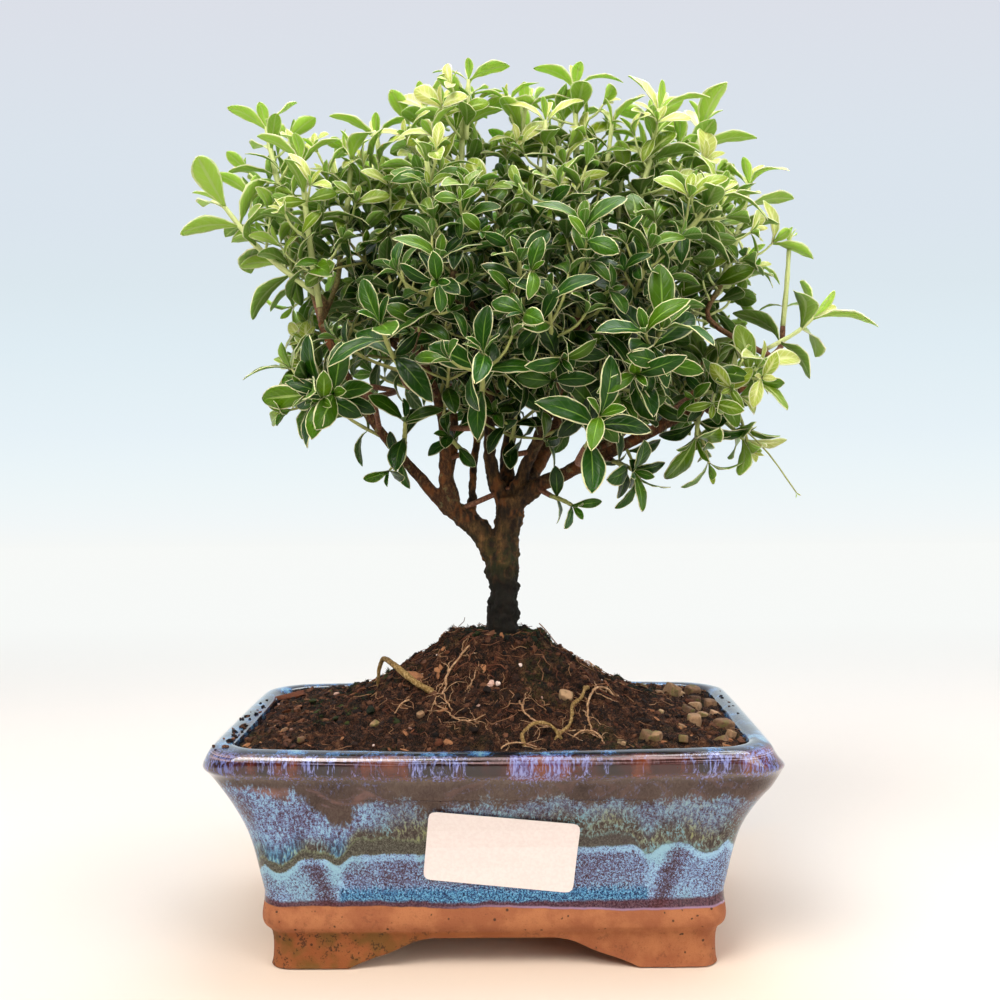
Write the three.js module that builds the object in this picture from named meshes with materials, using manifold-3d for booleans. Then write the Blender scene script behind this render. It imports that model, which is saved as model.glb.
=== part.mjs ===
// A serissa bonsai: a small variegated shrub grown as a tree, in a glazed pot on cloud-cut feet.
// Millimetres, +Z up, X across the pot's long side, the front towards -Y. The tree is laid out
// from the middle of the pot on the ground, and the last lines centre the whole on the origin.
import * as THREE from "three";
import { mergeVertices } from "three/addons/utils/BufferGeometryUtils.js";
import Module from "manifold-3d";

const wasm = await Module();
wasm.setup();

// Driving dimensions.
const GAP = 0.3; // between pieces that rest on each other
const POT = {
  width: 183.2, // over the lip
  depth: 125.2, // over the lip
  height: 73.2,
  wall: 6,
  floorBottom: 10.2,
  floorTop: 16,
  footThickness: 7,
  panelMargin: 22, // from a corner to the sunk panel
  panelDepth: 0.9,
  drainRadius: 6,
  drainSpacing: 72,
};
// Half the outer width of the pot at each height. Half the depth is always DEPTH_LESS smaller.
const POT_WALL = [
  [0, 72.8],
  [2, 72.2],
  [12.2, 72.4],
  [13.4, 75.2],
  [17, 75.8],
  [20.4, 75.2],
  [24, 75],
  [25.2, 75.3],
  [34, 76.8],
  [41, 78.4],
  [47, 80.4],
  [54.6, 83.8],
  [58, 85.6],
  [59.2, 86.2],
  [65.2, 88.6],
  [66.2, 90.8],
  [69.6, 91.6],
  [72.2, 90.9],
  [73.2, 89.1],
];
const BOW = 5.5; // how far the long sides bulge at the lip, from BOW_FROM up
const BOW_FROM = 24;
// Half the inner width at each height, from the floor to just above the lip.
const POT_INSIDE = [
  [POT.floorTop, 68.6],
  [34, 70.6],
  [47, 74.4],
  [58, 79.1],
  [69, 82.4],
  [POT.height + 1, 83],
];
const DEPTH_LESS = (POT.width - POT.depth) / 2;
const PANEL_FROM = 24.5; // the sunk panel lies between these heights
const PANEL_TO = 58.5;
const BODY_CORNER = 7; // radius of the pot's corners, at the foot and at the lip
const LIP_CORNER = 14;
// The arch under a long side: half its width at each height. A short side's is half as wide.
const ARCH = [
  [48, -1],
  [47, 0.4],
  [40, 3.3],
  [33, 5.6],
  [25.5, 9],
  [20, POT.floorBottom],
];

const MOUND_RIM = POT_INSIDE.at(-2)[0]; // height of the soil at the wall
const MOUND_CORE = 17; // radius of the raised root ball's top
// Height of the soil from the root ball (0) to the wall (1).
const MOUND = [
  [0, 101.6],
  [0.05, 97.2],
  [0.12, 94.7],
  [0.22, 90.4],
  [0.34, 85.4],
  [0.52, 80.4],
  [0.72, 75.6],
  [0.88, 71.8],
  [1, MOUND_RIM],
];

const LABEL = { width: 48, height: 23.8, thickness: 0.4, corner: 2.5, turn: -6 };
const LABEL_AT = { x: 2.5, z: 39.6 };
const LEAF_SLIM = 0.42; // width of a leaf against its length
const LEAF_THICK = 1.1; // at the keel
const LEAF_TWIST = 1.2; // radians, from one side to the other
const STEM_RADIUS = [0.95, 0.65];
const TWIG_RADIUS = [0.9, 1.05];
const LIMB_STEPS = 12; // places along a limb where a twig can start, but for the first few
const TWIG_FIRST_STEP = 4;
const TWIG_RISE = 6; // how far below its shoot a twig starts, where a limb is near
const TOO_HIGH_COST = 3; // for each millimetre that it starts above that
const LEAF_CLEARANCE = 0.25; // to another shoot or the wood

// Wood: the points of each run and its radius there, from the trunk's buried stub to the twigs.
const TRUNK = [
  [2.6, 0, 64, 5],
  [2.6, 0, 84, 6.2],
  [2.6, 0, 101, 6.5],
  [3.2, 0, 110, 5.6],
  [3.5, 0, 117.5, 5.2],
  [3.1, 0, 124, 6.2],
  [2.9, 0, 131, 5.8],
  [4.6, 0, 138, 4.7],
  [5.6, 0, 144, 5.5],
  [6.2, 0, 150, 5.8],
];
const LIMBS = [
  // The low left limb and the long slender branch that goes on from it.
  [[2, 0, 127, 5.2], [-4.5, 0, 137, 4.2], [-12, -1, 144, 3.9], [-18, -3, 148.5, 2.6],
    [-31, -5, 163, 1.8], [-44, -8, 180, 1.7], [-55, -11, 201, 1.6], [-60, -9, 212, 1.4]],
  // Three uprights on the left.
  [[-14, -3, 146, 3.2], [-16.5, -5, 157, 2.9], [-17, -8, 168, 1.9], [-18.5, -11, 182, 1.7],
    [-23, -18, 196, 1.5], [-28, -26, 212, 1.3]],
  [[-8, 0, 143, 2], [-7.5, 3, 158, 1.4], [-6.5, 6, 168, 1.4], [-4.5, 9, 185, 1.5],
    [-3, 11, 208, 1.4], [-2, 8, 232, 1.2]],
  [[4, 0, 148, 3.6], [-0.5, 0, 159, 2.7], [-1.5, -2, 170, 2.1], [-1, -6, 183, 1.9],
    [-4, -14, 202, 1.6], [-9, -20, 224, 1.2]],
  // The right fork and the long limb low on the right.
  [[7, 0, 148, 3.8], [11, -2, 160, 2.2], [15.5, -5, 170, 2.2], [21, -9, 184, 2], [31, -14, 204, 1.6],
    [39, -16, 226, 1.2]],
  [[8, -1, 149, 3.6], [17, -6, 155, 2.9], [28, -12, 160, 2.3], [38, -16, 165, 2.2],
    [54, -19, 173, 2], [68, -17, 180, 1.8], [83, -14, 186, 1.6], [97, -10, 199, 1.4]],
  // Limbs that run back from the forks.
  [[6, 1, 148, 3.4], [4.5, 8, 163, 2.6], [6, 18, 180, 2.2], [-2, 32, 196, 1.7], [-12, 46, 216, 1.3]],
  [[8, 1, 149, 3.4], [17, 10, 163, 2.6], [25, 22, 180, 2.2], [38, 38, 198, 1.6], [50, 48, 216, 1.3]],
  [[-16.5, -5, 158, 2.2], [-14.5, 2, 168, 1.6], [-16, 12, 184, 1.6], [-30, 25, 200, 1.5],
    [-46, 36, 214, 1.3]],
  [[24, -9, 158, 2.2], [41, 8, 169, 1.8], [62, 26, 185, 1.6], [80, 36, 201, 1.3]],
  // Inner uprights.
  [[19, -8, 180, 2], [26, 4, 198, 1.7], [34, 6, 218, 1.5], [42, 4, 238, 1.2]],
  [[-4.5, 9, 185, 1.6], [-17, 8, 206, 1.5], [-26, 4, 226, 1.2]],
];
// Roots that arch out of the soil, each from the stub under the mound and back into it.
const ROOTS = [
  [[0, -2, 84, 2], [-16, -20, 84, 1.8], [-25, -25, 86.5, 1.6], [-34, -16, 93, 1.6],
    [-39, -9, 94, 1.5], [-41, -5, 86, 1.4], [-41, -3, 79, 1.2]],
  [[4, -3, 80, 2], [7, -26, 78, 1.6], [9, -39, 76, 1], [8.5, -44.5, 79.5, 0.9], [13, -47, 78.5, 0.9],
    [18, -46.5, 76, 0.9], [20, -45, 69, 0.9]],
  [[6, -2, 84, 2], [24, -20, 84, 1.6], [29, -26, 88.5, 1.1], [26, -33, 86.5, 1], [25, -39, 82.5, 0.9],
    [24, -42, 74, 0.9]],
];

// Leafy shoots seen from the front: [foot], [tip], pairs of leaves, leaf length.
const FRONT_SHOOTS = [
  // The left edge, from the top down.
  [[-72, 4, 247], [-83, 12, 286], 4, 18],
  [[-60, -12, 217], [-66, -14, 268], 4, 19],
  [[-62, -8, 222], [-95, -5, 254], 4, 22],
  [[-54, -3, 236], [-50, -2, 271], 3, 20],
  [[-49, -24, 186], [-58, -31, 186], 3, 22],
  [[-31, -10, 170], [-30, -18, 177], 2, 17],
  // The top, from left to right.
  [[-35, 6, 240], [-42, 8, 281], 4, 18],
  [[-21, 10, 252], [-25, 14, 294], 4, 18],
  [[-12, -7, 247], [-10, -6, 290], 4, 18],
  [[3, 2, 252], [12, 6, 291], 4, 18],
  [[31, 4, 255], [30, 5, 298], 4, 19],
  [[50, -4, 248], [59, -6, 287], 4, 19],
  [[68, 12, 246], [77, 16, 286], 4, 21],
  // The right edge, from the top down.
  [[82, 3, 226], [93, 6, 263], 4, 19],
  [[104, 2, 211], [107, 4, 242], 2, 9],
  [[96, -9, 202], [113, -6, 213], 3, 22],
  [[80, -20, 186], [88, -32, 194], 3, 18],
  [[75, -12, 180], [86, -18, 170], 3, 17],
  // The face of the crown, upper rows.
  [[-18, -28, 238], [-21, -36, 262], 3, 17],
  [[26, -36, 230], [22, -46, 252], 3, 17],
  [[49, -30, 226], [74, -36, 250], 4, 20],
  [[-12, -38, 226], [-8, -49, 248], 3, 16],
  [[28, -42, 210], [29, -58, 236], 3, 18],
  [[-23, -42, 207], [-16, -60, 226], 3, 17],
  [[44, -42, 212], [50, -54, 230], 3, 17],
  [[10, -46, 205], [9, -62, 225], 3, 17],
  // The face of the crown, lower rows.
  [[20, -50, 192], [18, -67, 212], 3, 19],
  [[-30, -40, 194], [-34, -58, 206], 3, 22],
  [[40, -44, 188], [53, -62, 204], 3, 23],
  [[-3, -48, 183], [-2, -68, 196], 3, 20],
  [[30, -48, 168], [33, -68, 177], 3, 21],
  [[71, -23, 186], [76, -33, 186], 3, 16],
  [[70, -22, 178], [68, -29, 171], 2, 21],
  [[41, -20, 163], [47, -29, 160], 3, 16],
  [[20, -12, 151], [27, -19, 148], 2, 13],
  [[-11, -6, 167], [-15, -15, 172], 3, 13],
];
// Shoots round the back, in rows: height above BACK_CENTRE, how far out, count, leaf length.
const BACK_CENTRE = [10, 2, 196];
const BACK_ROWS = [
  { rise: 2, out: 0.74, count: 6, length: 26 },
  { rise: 42, out: 0.8, count: 5, length: 30 },
  { rise: 76, out: 0.58, count: 3, length: 32 },
];
const BACK_REACH = [112, 100]; // half the crown's width and depth at the back
const BACK_LEAF = 19;
// Shoots inside the crown, between the limbs: as FRONT_SHOOTS.
const INNER_SHOOTS = [
  [[16, 8, 194], [22, 20, 226], 3, 17],
  [[-14, 12, 198], [-16, 20, 234], 3, 17],
  [[50, 6, 198], [58, 10, 230], 3, 17],
  [[6, -9, 168], [8, -19, 180], 3, 16],
];

// Random numbers from 0 to 1, the same on every run (mulberry32).
function seeded(seed) {
  let state = seed >>> 0;
  return () => {
    state = (state + 0x6d2b79f5) >>> 0;
    let mixed = state;
    mixed = Math.imul(mixed ^ (mixed >>> 15), mixed | 1);
    mixed ^= mixed + Math.imul(mixed ^ (mixed >>> 7), mixed | 61);
    return ((mixed ^ (mixed >>> 14)) >>> 0) / 4294967296;
  };
}

const vector = (x, y, z) => new THREE.Vector3(x, y, z);
const UP = vector(0, 0, 1);
const CORNER_STEPS = 3;
const lerp = THREE.MathUtils.lerp;
const radians = THREE.MathUtils.degToRad;

// Solids and meshes.

function solidFrom(geometry) {
  const bare = new THREE.BufferGeometry();
  bare.setAttribute("position", geometry.getAttribute("position"));
  bare.setIndex(geometry.index);
  const merged = mergeVertices(bare, 1e-4);
  return new wasm.Manifold(
    new wasm.Mesh({
      numProp: 3,
      vertProperties: new Float32Array(merged.attributes.position.array),
      triVerts: new Uint32Array(merged.index.array),
    }),
  );
}

function meshFrom(name, solid, look) {
  const made = solid.simplify(0.01).getMesh();
  const geometry = new THREE.BufferGeometry();
  geometry.setAttribute("position", new THREE.BufferAttribute(made.vertProperties, 3));
  geometry.setIndex(new THREE.BufferAttribute(made.triVerts, 1));
  geometry.computeVertexNormals();
  const mesh = new THREE.Mesh(geometry, new THREE.MeshStandardMaterial(look));
  mesh.name = name;
  return mesh;
}

// A closed skin over rings of points that run counter-clockwise about the way they follow.
function loft(rings, start, end) {
  const sides = rings[0].length;
  const points = [...rings.flat(), start ?? middle(rings[0]), end ?? middle(rings.at(-1))];
  const startAt = points.length - 2;
  const endAt = points.length - 1;
  const lastRing = (rings.length - 1) * sides;
  const faces = [];
  for (let side = 0; side < sides; side++) {
    const next = (side + 1) % sides;
    faces.push(startAt, next, side);
    for (let low = 0; low < lastRing; low += sides) {
      faces.push(low + side, low + next, low + sides + next);
      faces.push(low + side, low + sides + next, low + sides + side);
    }
    faces.push(lastRing + side, lastRing + next, endAt);
  }
  const geometry = new THREE.BufferGeometry().setFromPoints(points);
  geometry.setIndex(faces);
  return solidFrom(geometry);
}

function middle(ring) {
  const sum = ring.reduce((total, point) => total.add(point), vector(0, 0, 0));
  return sum.divideScalar(ring.length);
}

function smoothCurve(points) {
  return new THREE.CatmullRomCurve3(points, false, "catmullrom", 0.5);
}

// A tapering tube through points, with a radius at each.
function tube(points, radii, sides, grow = 0) {
  const curve = smoothCurve(points);
  const spans = points.length - 1;
  const across = vector(0.31, 0.95, 0.05);
  const rings = points.map((centre, index) => {
    const along = curve.getTangent(index / spans);
    across.addScaledVector(along, -across.dot(along)).normalize();
    const other = vector(0, 0, 0).crossVectors(along, across);
    const radius = radii[index] + grow;
    return Array.from({ length: sides }, (_, side) => {
      const angle = (side / sides) * 2 * Math.PI;
      const point = centre.clone().addScaledVector(across, radius * Math.cos(angle));
      return point.addScaledVector(other, radius * Math.sin(angle));
    });
  });
  return loft(rings);
}

// A run of wood from rows of x, y, z, radius. Growing it gives the hole that it stands in.
function wood(rows, sides, grow = 0) {
  const points = rows.map(([x, y, z]) => vector(x, y, z));
  return tube(points, rows.map((row) => row[3]), sides, grow);
}

// How far a long side curves back at a place, from its middle (0) to the corner (1).
const bowAt = (share, z) => BOW * share * share * Math.max(0, (z - BOW_FROM) / (POT.height - BOW_FROM));

// A rectangle with round corners and bowed long sides. Between gives the points along a side of
// a given half length: how far along each is, and how deep inside the outline.
function rectangle(halfX, halfY, radius, z, between = () => []) {
  const ring = [];
  const signs = [[1, -1], [1, 1], [-1, 1], [-1, -1]];
  signs.forEach(([signX, signY], side) => {
    for (let step = 0; step <= CORNER_STEPS; step++) {
      const angle = ((side - 1 + step / CORNER_STEPS) * Math.PI) / 2;
      const x = signX * (halfX - radius) + radius * Math.cos(angle);
      ring.push(vector(x, signY * (halfY - radius) + radius * Math.sin(angle), z));
    }
    // The side that follows this corner, its way out and its way forward.
    const [reach, length] = side % 2 === 0 ? [halfX, halfY] : [halfY, halfX];
    const out = vector(1, 0, 0).applyAxisAngle(UP, (side * Math.PI) / 2);
    const forward = vector(0, 1, 0).applyAxisAngle(UP, (side * Math.PI) / 2);
    for (const [along, depth] of between(length)) {
      const point = out.clone().multiplyScalar(reach - depth).addScaledVector(forward, along);
      ring.push(point.setZ(z));
    }
  });
  ring.forEach((point) => {
    point.y *= 1 - bowAt(point.x / halfX, z) / halfY;
  });
  return ring;
}

// Three points along a side, flush with it.
const halves = (length) => [[-length / 2, 0], [0, 0], [length / 2, 0]];

// The value at a place in rows of [place, value], in a straight line between the rows.
function valueAt(rows, place) {
  const above = Math.max(rows.findIndex(([start]) => start >= place), 1);
  const [p0, v0] = rows[above - 1];
  const [p1, v1] = rows[above];
  return lerp(v0, v1, (place - p0) / (p1 - p0));
}

// Corner radius outside and inside the pot, and half its width there, at a height.
const cornerAt = (z) => lerp(BODY_CORNER, LIP_CORNER, Math.min(Math.max(z, 0) / POT.height, 1));
const innerCornerAt = (z) => cornerAt(z) - POT.wall / 2;
const wallAt = (z) => valueAt(POT_WALL, z);
const insideAt = (z) => valueAt(POT_INSIDE, z);

// The pot.

function pot() {
  const outside = POT_WALL.map(([z, half]) => {
    const sunk = z > PANEL_FROM && z < PANEL_TO ? POT.panelDepth : 0;
    return rectangle(half, half - DEPTH_LESS, cornerAt(z), z, (length) => {
      const edge = length - POT.panelMargin;
      return [[-edge, 0], [-edge + 1, sunk], [0, sunk], [edge - 1, sunk], [edge, 0]];
    });
  });
  const inside = POT_INSIDE.map(([z, half]) => {
    return rectangle(half, half - DEPTH_LESS, innerCornerAt(z), z, halves);
  });
  const skirt = wallAt(6) - POT.footThickness;
  const under = [-1, POT.floorBottom].map((z) => rectangle(skirt, skirt - DEPTH_LESS, 3, z));
  return loft(outside)
    .subtract(loft(inside))
    .subtract(loft(under))
    .subtract(arch(1, 0))
    .subtract(arch(0.5, 90))
    .subtract(drain(-POT.drainSpacing / 2))
    .subtract(drain(POT.drainSpacing / 2));
}

// The cut through both long sides, or turned by 90 degrees through both short ones.
function arch(scale, turn) {
  const left = ARCH.map(([half, z]) => [-half * scale, z]);
  const right = ARCH.map(([half, z]) => [half * scale, z]).reverse();
  const outline = [...right, ...left].map(([x, z]) => new THREE.Vector2(x, z));
  const reach = POT.width;
  const cut = new THREE.ExtrudeGeometry(new THREE.Shape(outline), { depth: reach, bevelEnabled: false });
  cut.rotateX(Math.PI / 2);
  cut.translate(0, reach / 2, 0);
  cut.rotateZ(radians(turn));
  return solidFrom(cut);
}

function drain(x) {
  const hole = new THREE.CylinderGeometry(POT.drainRadius, POT.drainRadius, 20, 16);
  hole.rotateX(Math.PI / 2);
  hole.translate(x, 0, POT.floorTop);
  return solidFrom(hole);
}

// Plastic mesh that keeps the soil in over a drain hole.
const MESH = { size: 20, thickness: 0.8, bars: 3, slot: 4 };

function drainMesh(x) {
  const plate = new THREE.BoxGeometry(MESH.size, MESH.size, MESH.thickness);
  let solid = solidFrom(plate);
  const pitch = MESH.size / (MESH.bars + 0.6);
  for (let row = 0; row < MESH.bars; row++) {
    for (let column = 0; column < MESH.bars; column++) {
      const slot = new THREE.BoxGeometry(MESH.slot, MESH.slot, 2);
      const first = (-pitch * (MESH.bars - 1)) / 2;
      slot.translate(first + column * pitch, first + row * pitch, 0);
      solid = solid.subtract(solidFrom(slot));
    }
  }
  return solid.translate(x, 0, POT.floorTop + GAP + MESH.thickness / 2);
}

// The soil, heaped to the root ball, with pebbles pressed into its right side.

const PEBBLES = [
  [62, -38, 4.4], [70, -33, 3.6], [74, -24, 3.9], [55, -42, 3.1], [66, -22, 3.4], [48, -40, 3.8],
  [58, -28, 3.3], [74, -12, 3.2], [40, -36, 2.9], [64, -8, 3.5], [70, 6, 3], [49, -24, 2.8],
];
const CHIP = [-62, 22, 5]; // a bark chip at the back on the left

// How far out a ring of the mound lies one way: a circle round the trunk opens out to an ellipse,
// and only close to the wall to the pot's inner outline.
function moundReach(share, angle, toWall) {
  const half = insideAt(MOUND_RIM);
  const toEllipse = 1 / Math.hypot(Math.cos(angle) / half, Math.sin(angle) / (half - DEPTH_LESS));
  return lerp(MOUND_CORE, lerp(toEllipse, toWall, Math.pow(share, 3)), share);
}

// The height of the soil at a place.
function moundHeight(x, y) {
  const half = insideAt(MOUND_RIM);
  const angle = Math.atan2(y, x);
  const toWall = Math.min(half / Math.abs(Math.cos(angle)), (half - DEPTH_LESS) / Math.abs(Math.sin(angle)));
  const slope = MOUND.map(([share, z]) => [moundReach(share, angle, toWall), z]);
  return valueAt(slope, Math.hypot(x, y));
}

function moundRing(share, z, random) {
  const half = insideAt(Math.min(z, MOUND_RIM)) - GAP;
  const outer = rectangle(half, half - DEPTH_LESS, innerCornerAt(z) - GAP, z, halves);
  return outer.map((point) => {
    const angle = Math.atan2(point.y, point.x);
    const reach = moundReach(share, angle, Math.hypot(point.x, point.y));
    const lump = share < 1 ? (random() - 0.5) * 1.8 : 0;
    return vector(reach * Math.cos(angle), reach * Math.sin(angle), z + lump);
  });
}

function soil(plant) {
  const random = seeded(11);
  const bottom = POT.floorTop + GAP;
  const levels = [bottom, ...POT_INSIDE.slice(1, -1).map(([z]) => z)];
  const walls = levels.map((z) => moundRing(1, z, random));
  const top = MOUND.slice(0, -1).reverse().map(([share, z]) => moundRing(share, z, random));
  let solid = loft([...walls, ...top]);
  for (const [x, y, radius] of [...PEBBLES, CHIP]) {
    const stone = new THREE.IcosahedronGeometry(radius, 0);
    stone.scale(1, 0.8, 0.62);
    stone.rotateZ(random() * Math.PI);
    stone.translate(x, y, moundHeight(x, y));
    solid = solid.add(solidFrom(stone));
  }
  for (const x of [-POT.drainSpacing / 2, POT.drainSpacing / 2]) {
    const room = MESH.size + 2 * GAP;
    const pocket = new THREE.BoxGeometry(room, room, 2 * (MESH.thickness + GAP));
    pocket.translate(x, 0, bottom);
    solid = solid.subtract(solidFrom(pocket));
  }
  return solid.subtract(plant);
}

// Shoots and leaves.

// The line of a shoot from its foot to its tip. It starts outwards and turns up.
function shootLine(foot, tip) {
  const from = vector(...foot);
  const to = vector(...tip);
  const bend = vector(to.x - from.x, to.y - from.y, 0).multiplyScalar(0.1);
  return [from, from.clone().lerp(to, 0.5).add(bend), to];
}

// One leaf: pointed at both ends, with a keel along the midrib and bent back towards the tip.
function leaf({ base, along, up, length }, extra = 0) {
  const side = vector(0, 0, 0).crossVectors(along, up);
  const at = (share) => {
    const rise = length * (0.1 * share - 0.24 * share * share);
    return base.clone().addScaledVector(along, length * share).addScaledVector(up, rise);
  };
  const stations = [[0.34, 0.6], [0.68, 1]];
  const rings = stations.map(([share, breadth]) => {
    const half = (length * LEAF_SLIM * breadth) / 2 + extra;
    const edge = at(share).addScaledVector(up, extra);
    return [
      edge.clone().addScaledVector(side, half),
      at(share).addScaledVector(up, -LEAF_THICK - extra),
      edge.clone().addScaledVector(side, -half),
    ];
  });
  return loft(rings, base, at(1));
}

// The leaves of a shoot: crossed pairs, closer together and more upright towards the tip.
function leavesOf(line, pairs, length, random) {
  const curve = smoothCurve(line);
  const across = vector(0.31, 0.95, 0.05);
  const roll = random() * Math.PI;
  const leaves = [];
  for (let pair = 0; pair <= pairs; pair++) {
    const isBud = pair === pairs;
    const share = isBud ? 0.99 : lerp(0.22, 0.97, Math.pow(pair / Math.max(pairs - 1, 1), 0.8));
    const axis = curve.getTangent(share);
    across.addScaledVector(axis, -across.dot(axis)).normalize();
    const other = vector(0, 0, 0).crossVectors(axis, across);
    const turn = roll + (pair * Math.PI) / 2 + (random() - 0.5) * 0.5;
    for (const opposite of [0, Math.PI]) {
      const angle = turn + opposite;
      const out = across.clone().multiplyScalar(Math.cos(angle)).addScaledVector(other, Math.sin(angle));
      const lean = isBud ? 24 : lerp(74, 48, pair / Math.max(pairs - 1, 1));
      const spread = radians(lean + (random() - 0.5) * 20);
      const along = out.multiplyScalar(Math.sin(spread)).addScaledVector(axis, Math.cos(spread));
      const size = (isBud ? 0.55 : 0.86 + 0.24 * random()) * length;
      // The upper face looks along the stem, with a twist of its own.
      const up = axis.clone().addScaledVector(along, -axis.dot(along)).normalize();
      up.applyAxisAngle(along, (random() - 0.5) * LEAF_TWIST);
      leaves.push({ base: curve.getPoint(share), along, up, length: size });
    }
  }
  return leaves;
}

// Shoots round the back of the crown, row by row, each pointing out and up from the middle.
function backShoots() {
  const shoots = [];
  const [x0, y0, z0] = BACK_CENTRE;
  for (const { rise, out, count, length } of BACK_ROWS) {
    for (let index = 0; index < count; index++) {
      const angle = Math.PI * ((index + 0.5) / count);
      const wide = vector(Math.cos(angle) * BACK_REACH[0], Math.sin(angle) * BACK_REACH[1], 0);
      const tip = vector(x0, y0, z0 + rise).addScaledVector(wide, out);
      const way = wide.multiplyScalar(1 / BACK_REACH[0]).add(vector(0, 0, 0.25 + rise / 60));
      const foot = tip.clone().addScaledVector(way.normalize(), -length);
      shoots.push([foot.toArray(), tip.toArray(), 3, BACK_LEAF]);
    }
  }
  return shoots;
}

// The place on the outer part of the limbs where a twig to a foot best starts: near, and below it.
function twigStart(foot) {
  let best = null;
  let least = Infinity;
  for (const rows of LIMBS) {
    const curve = smoothCurve(rows.map(([x, y, z]) => vector(x, y, z)));
    for (let step = TWIG_FIRST_STEP; step <= LIMB_STEPS; step++) {
      const spot = curve.getPoint(step / LIMB_STEPS);
      const tooHigh = Math.max(0, spot.z - foot.z + TWIG_RISE);
      const cost = foot.distanceTo(spot) + TOO_HIGH_COST * tooHigh;
      if (cost < least) {
        least = cost;
        best = spot;
      }
    }
  }
  return best;
}

function twig(line) {
  const [foot, bend] = line;
  const start = twigStart(foot);
  const way = bend.clone().sub(foot).normalize();
  const before = foot.clone().addScaledVector(way, -0.4 * start.distanceTo(foot));
  return tube([start, before, foot], [TWIG_RADIUS[0], TWIG_RADIUS[1], TWIG_RADIUS[1]], 3);
}

function stem(line) {
  const [foot, bend, tip] = line;
  const way = bend.clone().sub(foot).normalize();
  const start = foot.clone().addScaledVector(way, GAP);
  return tube([start, bend, tip], [STEM_RADIUS[0], STEM_RADIUS[0], STEM_RADIUS[1]], 5);
}

// The bare label on the front wall, curved up with it and a little crooked.
function label() {
  const shape = new THREE.Shape();
  const { width, height, corner, thickness } = LABEL;
  const left = -width / 2;
  const low = -height / 2;
  shape.moveTo(left + corner, low);
  shape.lineTo(-left - corner, low);
  shape.quadraticCurveTo(-left, low, -left, low + corner);
  shape.lineTo(-left, -low - corner);
  shape.quadraticCurveTo(-left, -low, -left - corner, -low);
  shape.lineTo(left + corner, -low);
  shape.quadraticCurveTo(left, -low, left, -low - corner);
  shape.lineTo(left, low + corner);
  shape.quadraticCurveTo(left, low, left + corner, low);
  const outline = new THREE.ExtrudeGeometry(shape, { depth: 60, bevelEnabled: false, curveSegments: 3 });
  outline.rotateX(Math.PI / 2);
  outline.rotateY(-radians(LABEL.turn));
  outline.translate(LABEL_AT.x, 0, LABEL_AT.z);
  // The sheet that the outline is cut from lies GAP outside the panel.
  const face = (z, off) => -(wallAt(z) - DEPTH_LESS - POT.panelDepth + GAP + off);
  const heights = [25.2, 34, 41, 47, 54.6, 58.4];
  const sheet = heights.map((z) => {
    const outer = face(z, thickness);
    const inner = face(z, 0);
    return [vector(-50, outer, z), vector(50, outer, z), vector(50, inner, z), vector(-50, inner, z)];
  });
  return loft(sheet).intersect(solidFrom(outline));
}

// Assembly.

const lines = [...FRONT_SHOOTS, ...backShoots(), ...INNER_SHOOTS].map(([foot, tip, pairs, length]) => ({
  line: shootLine(foot, tip),
  pairs,
  length,
}));
const woodRuns = (grow) => [
  wood(TRUNK, 9, grow),
  ...ROOTS.map((rows) => wood(rows, 5, grow)),
];
const twigs = lines.map(({ line }) => twig(line));
const limbs = LIMBS.map((rows) => wood(rows, 5));
const tree = wasm.Manifold.union([...woodRuns(0), ...limbs, ...twigs]);
const room = wasm.Manifold.union(woodRuns(GAP + 0.05));
const potSolid = pot();
const soilSolid = soil(room);

const group = new THREE.Group();
group.add(meshFrom("pot", potSolid, { color: 0x5f6f93, roughness: 0.15, metalness: 0 }));
group.add(meshFrom("soil", soilSolid, { color: 0x3a2a20, roughness: 0.95, metalness: 0 }));
group.add(meshFrom("trunk_and_branches", tree, { color: 0x5a4032, roughness: 0.85, metalness: 0 }));
group.add(meshFrom("label", label(), { color: 0xf4f4f2, roughness: 0.5, metalness: 0 }));
for (const [side, sign] of [["left", -1], ["right", 1]]) {
  const mesh = drainMesh((sign * POT.drainSpacing) / 2);
  group.add(meshFrom(`drain_mesh_${side}`, mesh, { color: 0x20262a, roughness: 0.6, metalness: 0 }));
}

// A leaf that would cross another shoot or the wood is turned about its stem, and left out if
// no turn clears it.
const TURNS = [0, 22, -22, 44, -44];
const stems = lines.map(({ line }) => stem(line));
const grown = stems.map((solid) => [solid]);
const fixed = [tree, potSolid, soilSolid];

function touches(solid, others) {
  const box = solid.boundingBox();
  return others.some((other) => {
    const near = other.boundingBox();
    const apart = [0, 1, 2].some((k) => box.min[k] > near.max[k] || box.max[k] < near.min[k]);
    return !apart && !solid.intersect(other).isEmpty();
  });
}

lines.forEach(({ line, pairs, length }, index) => {
  const random = seeded(100 + index);
  const others = [...fixed, ...grown.filter((_, other) => other !== index).flat()];
  for (const made of leavesOf(line, pairs, length, random)) {
    const axis = line[2].clone().sub(line[0]).normalize();
    const turned = TURNS.map((turn) => ({
      ...made,
      along: made.along.clone().applyAxisAngle(axis, radians(turn)),
      up: made.up.clone().applyAxisAngle(axis, radians(turn)),
    }));
    const clear = turned.find((one) => !touches(leaf(one, LEAF_CLEARANCE), others));
    if (clear) grown[index].push(leaf(clear));
  }
});

grown.forEach((solids, index) => {
  const name = `shoot_${String(index + 1).padStart(2, "0")}`;
  const whole = wasm.Manifold.union(solids);
  group.add(meshFrom(name, whole, { color: 0x3f6b2c, roughness: 0.4, metalness: 0 }));
});

// The origin is on the ground, in the middle of the whole plant's box.
const box = new THREE.Box3().setFromObject(group);
const centre = box.getCenter(vector(0, 0, 0));
group.position.set(-centre.x, -centre.y, 0);

export default group;
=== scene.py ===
from contextlib import contextmanager
from math import atan2, copysign, cos, hypot, pi, radians, sin, sqrt

import bmesh
import bpy
from mathutils import Matrix, Vector
from mathutils.bvhtree import BVHTree


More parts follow.
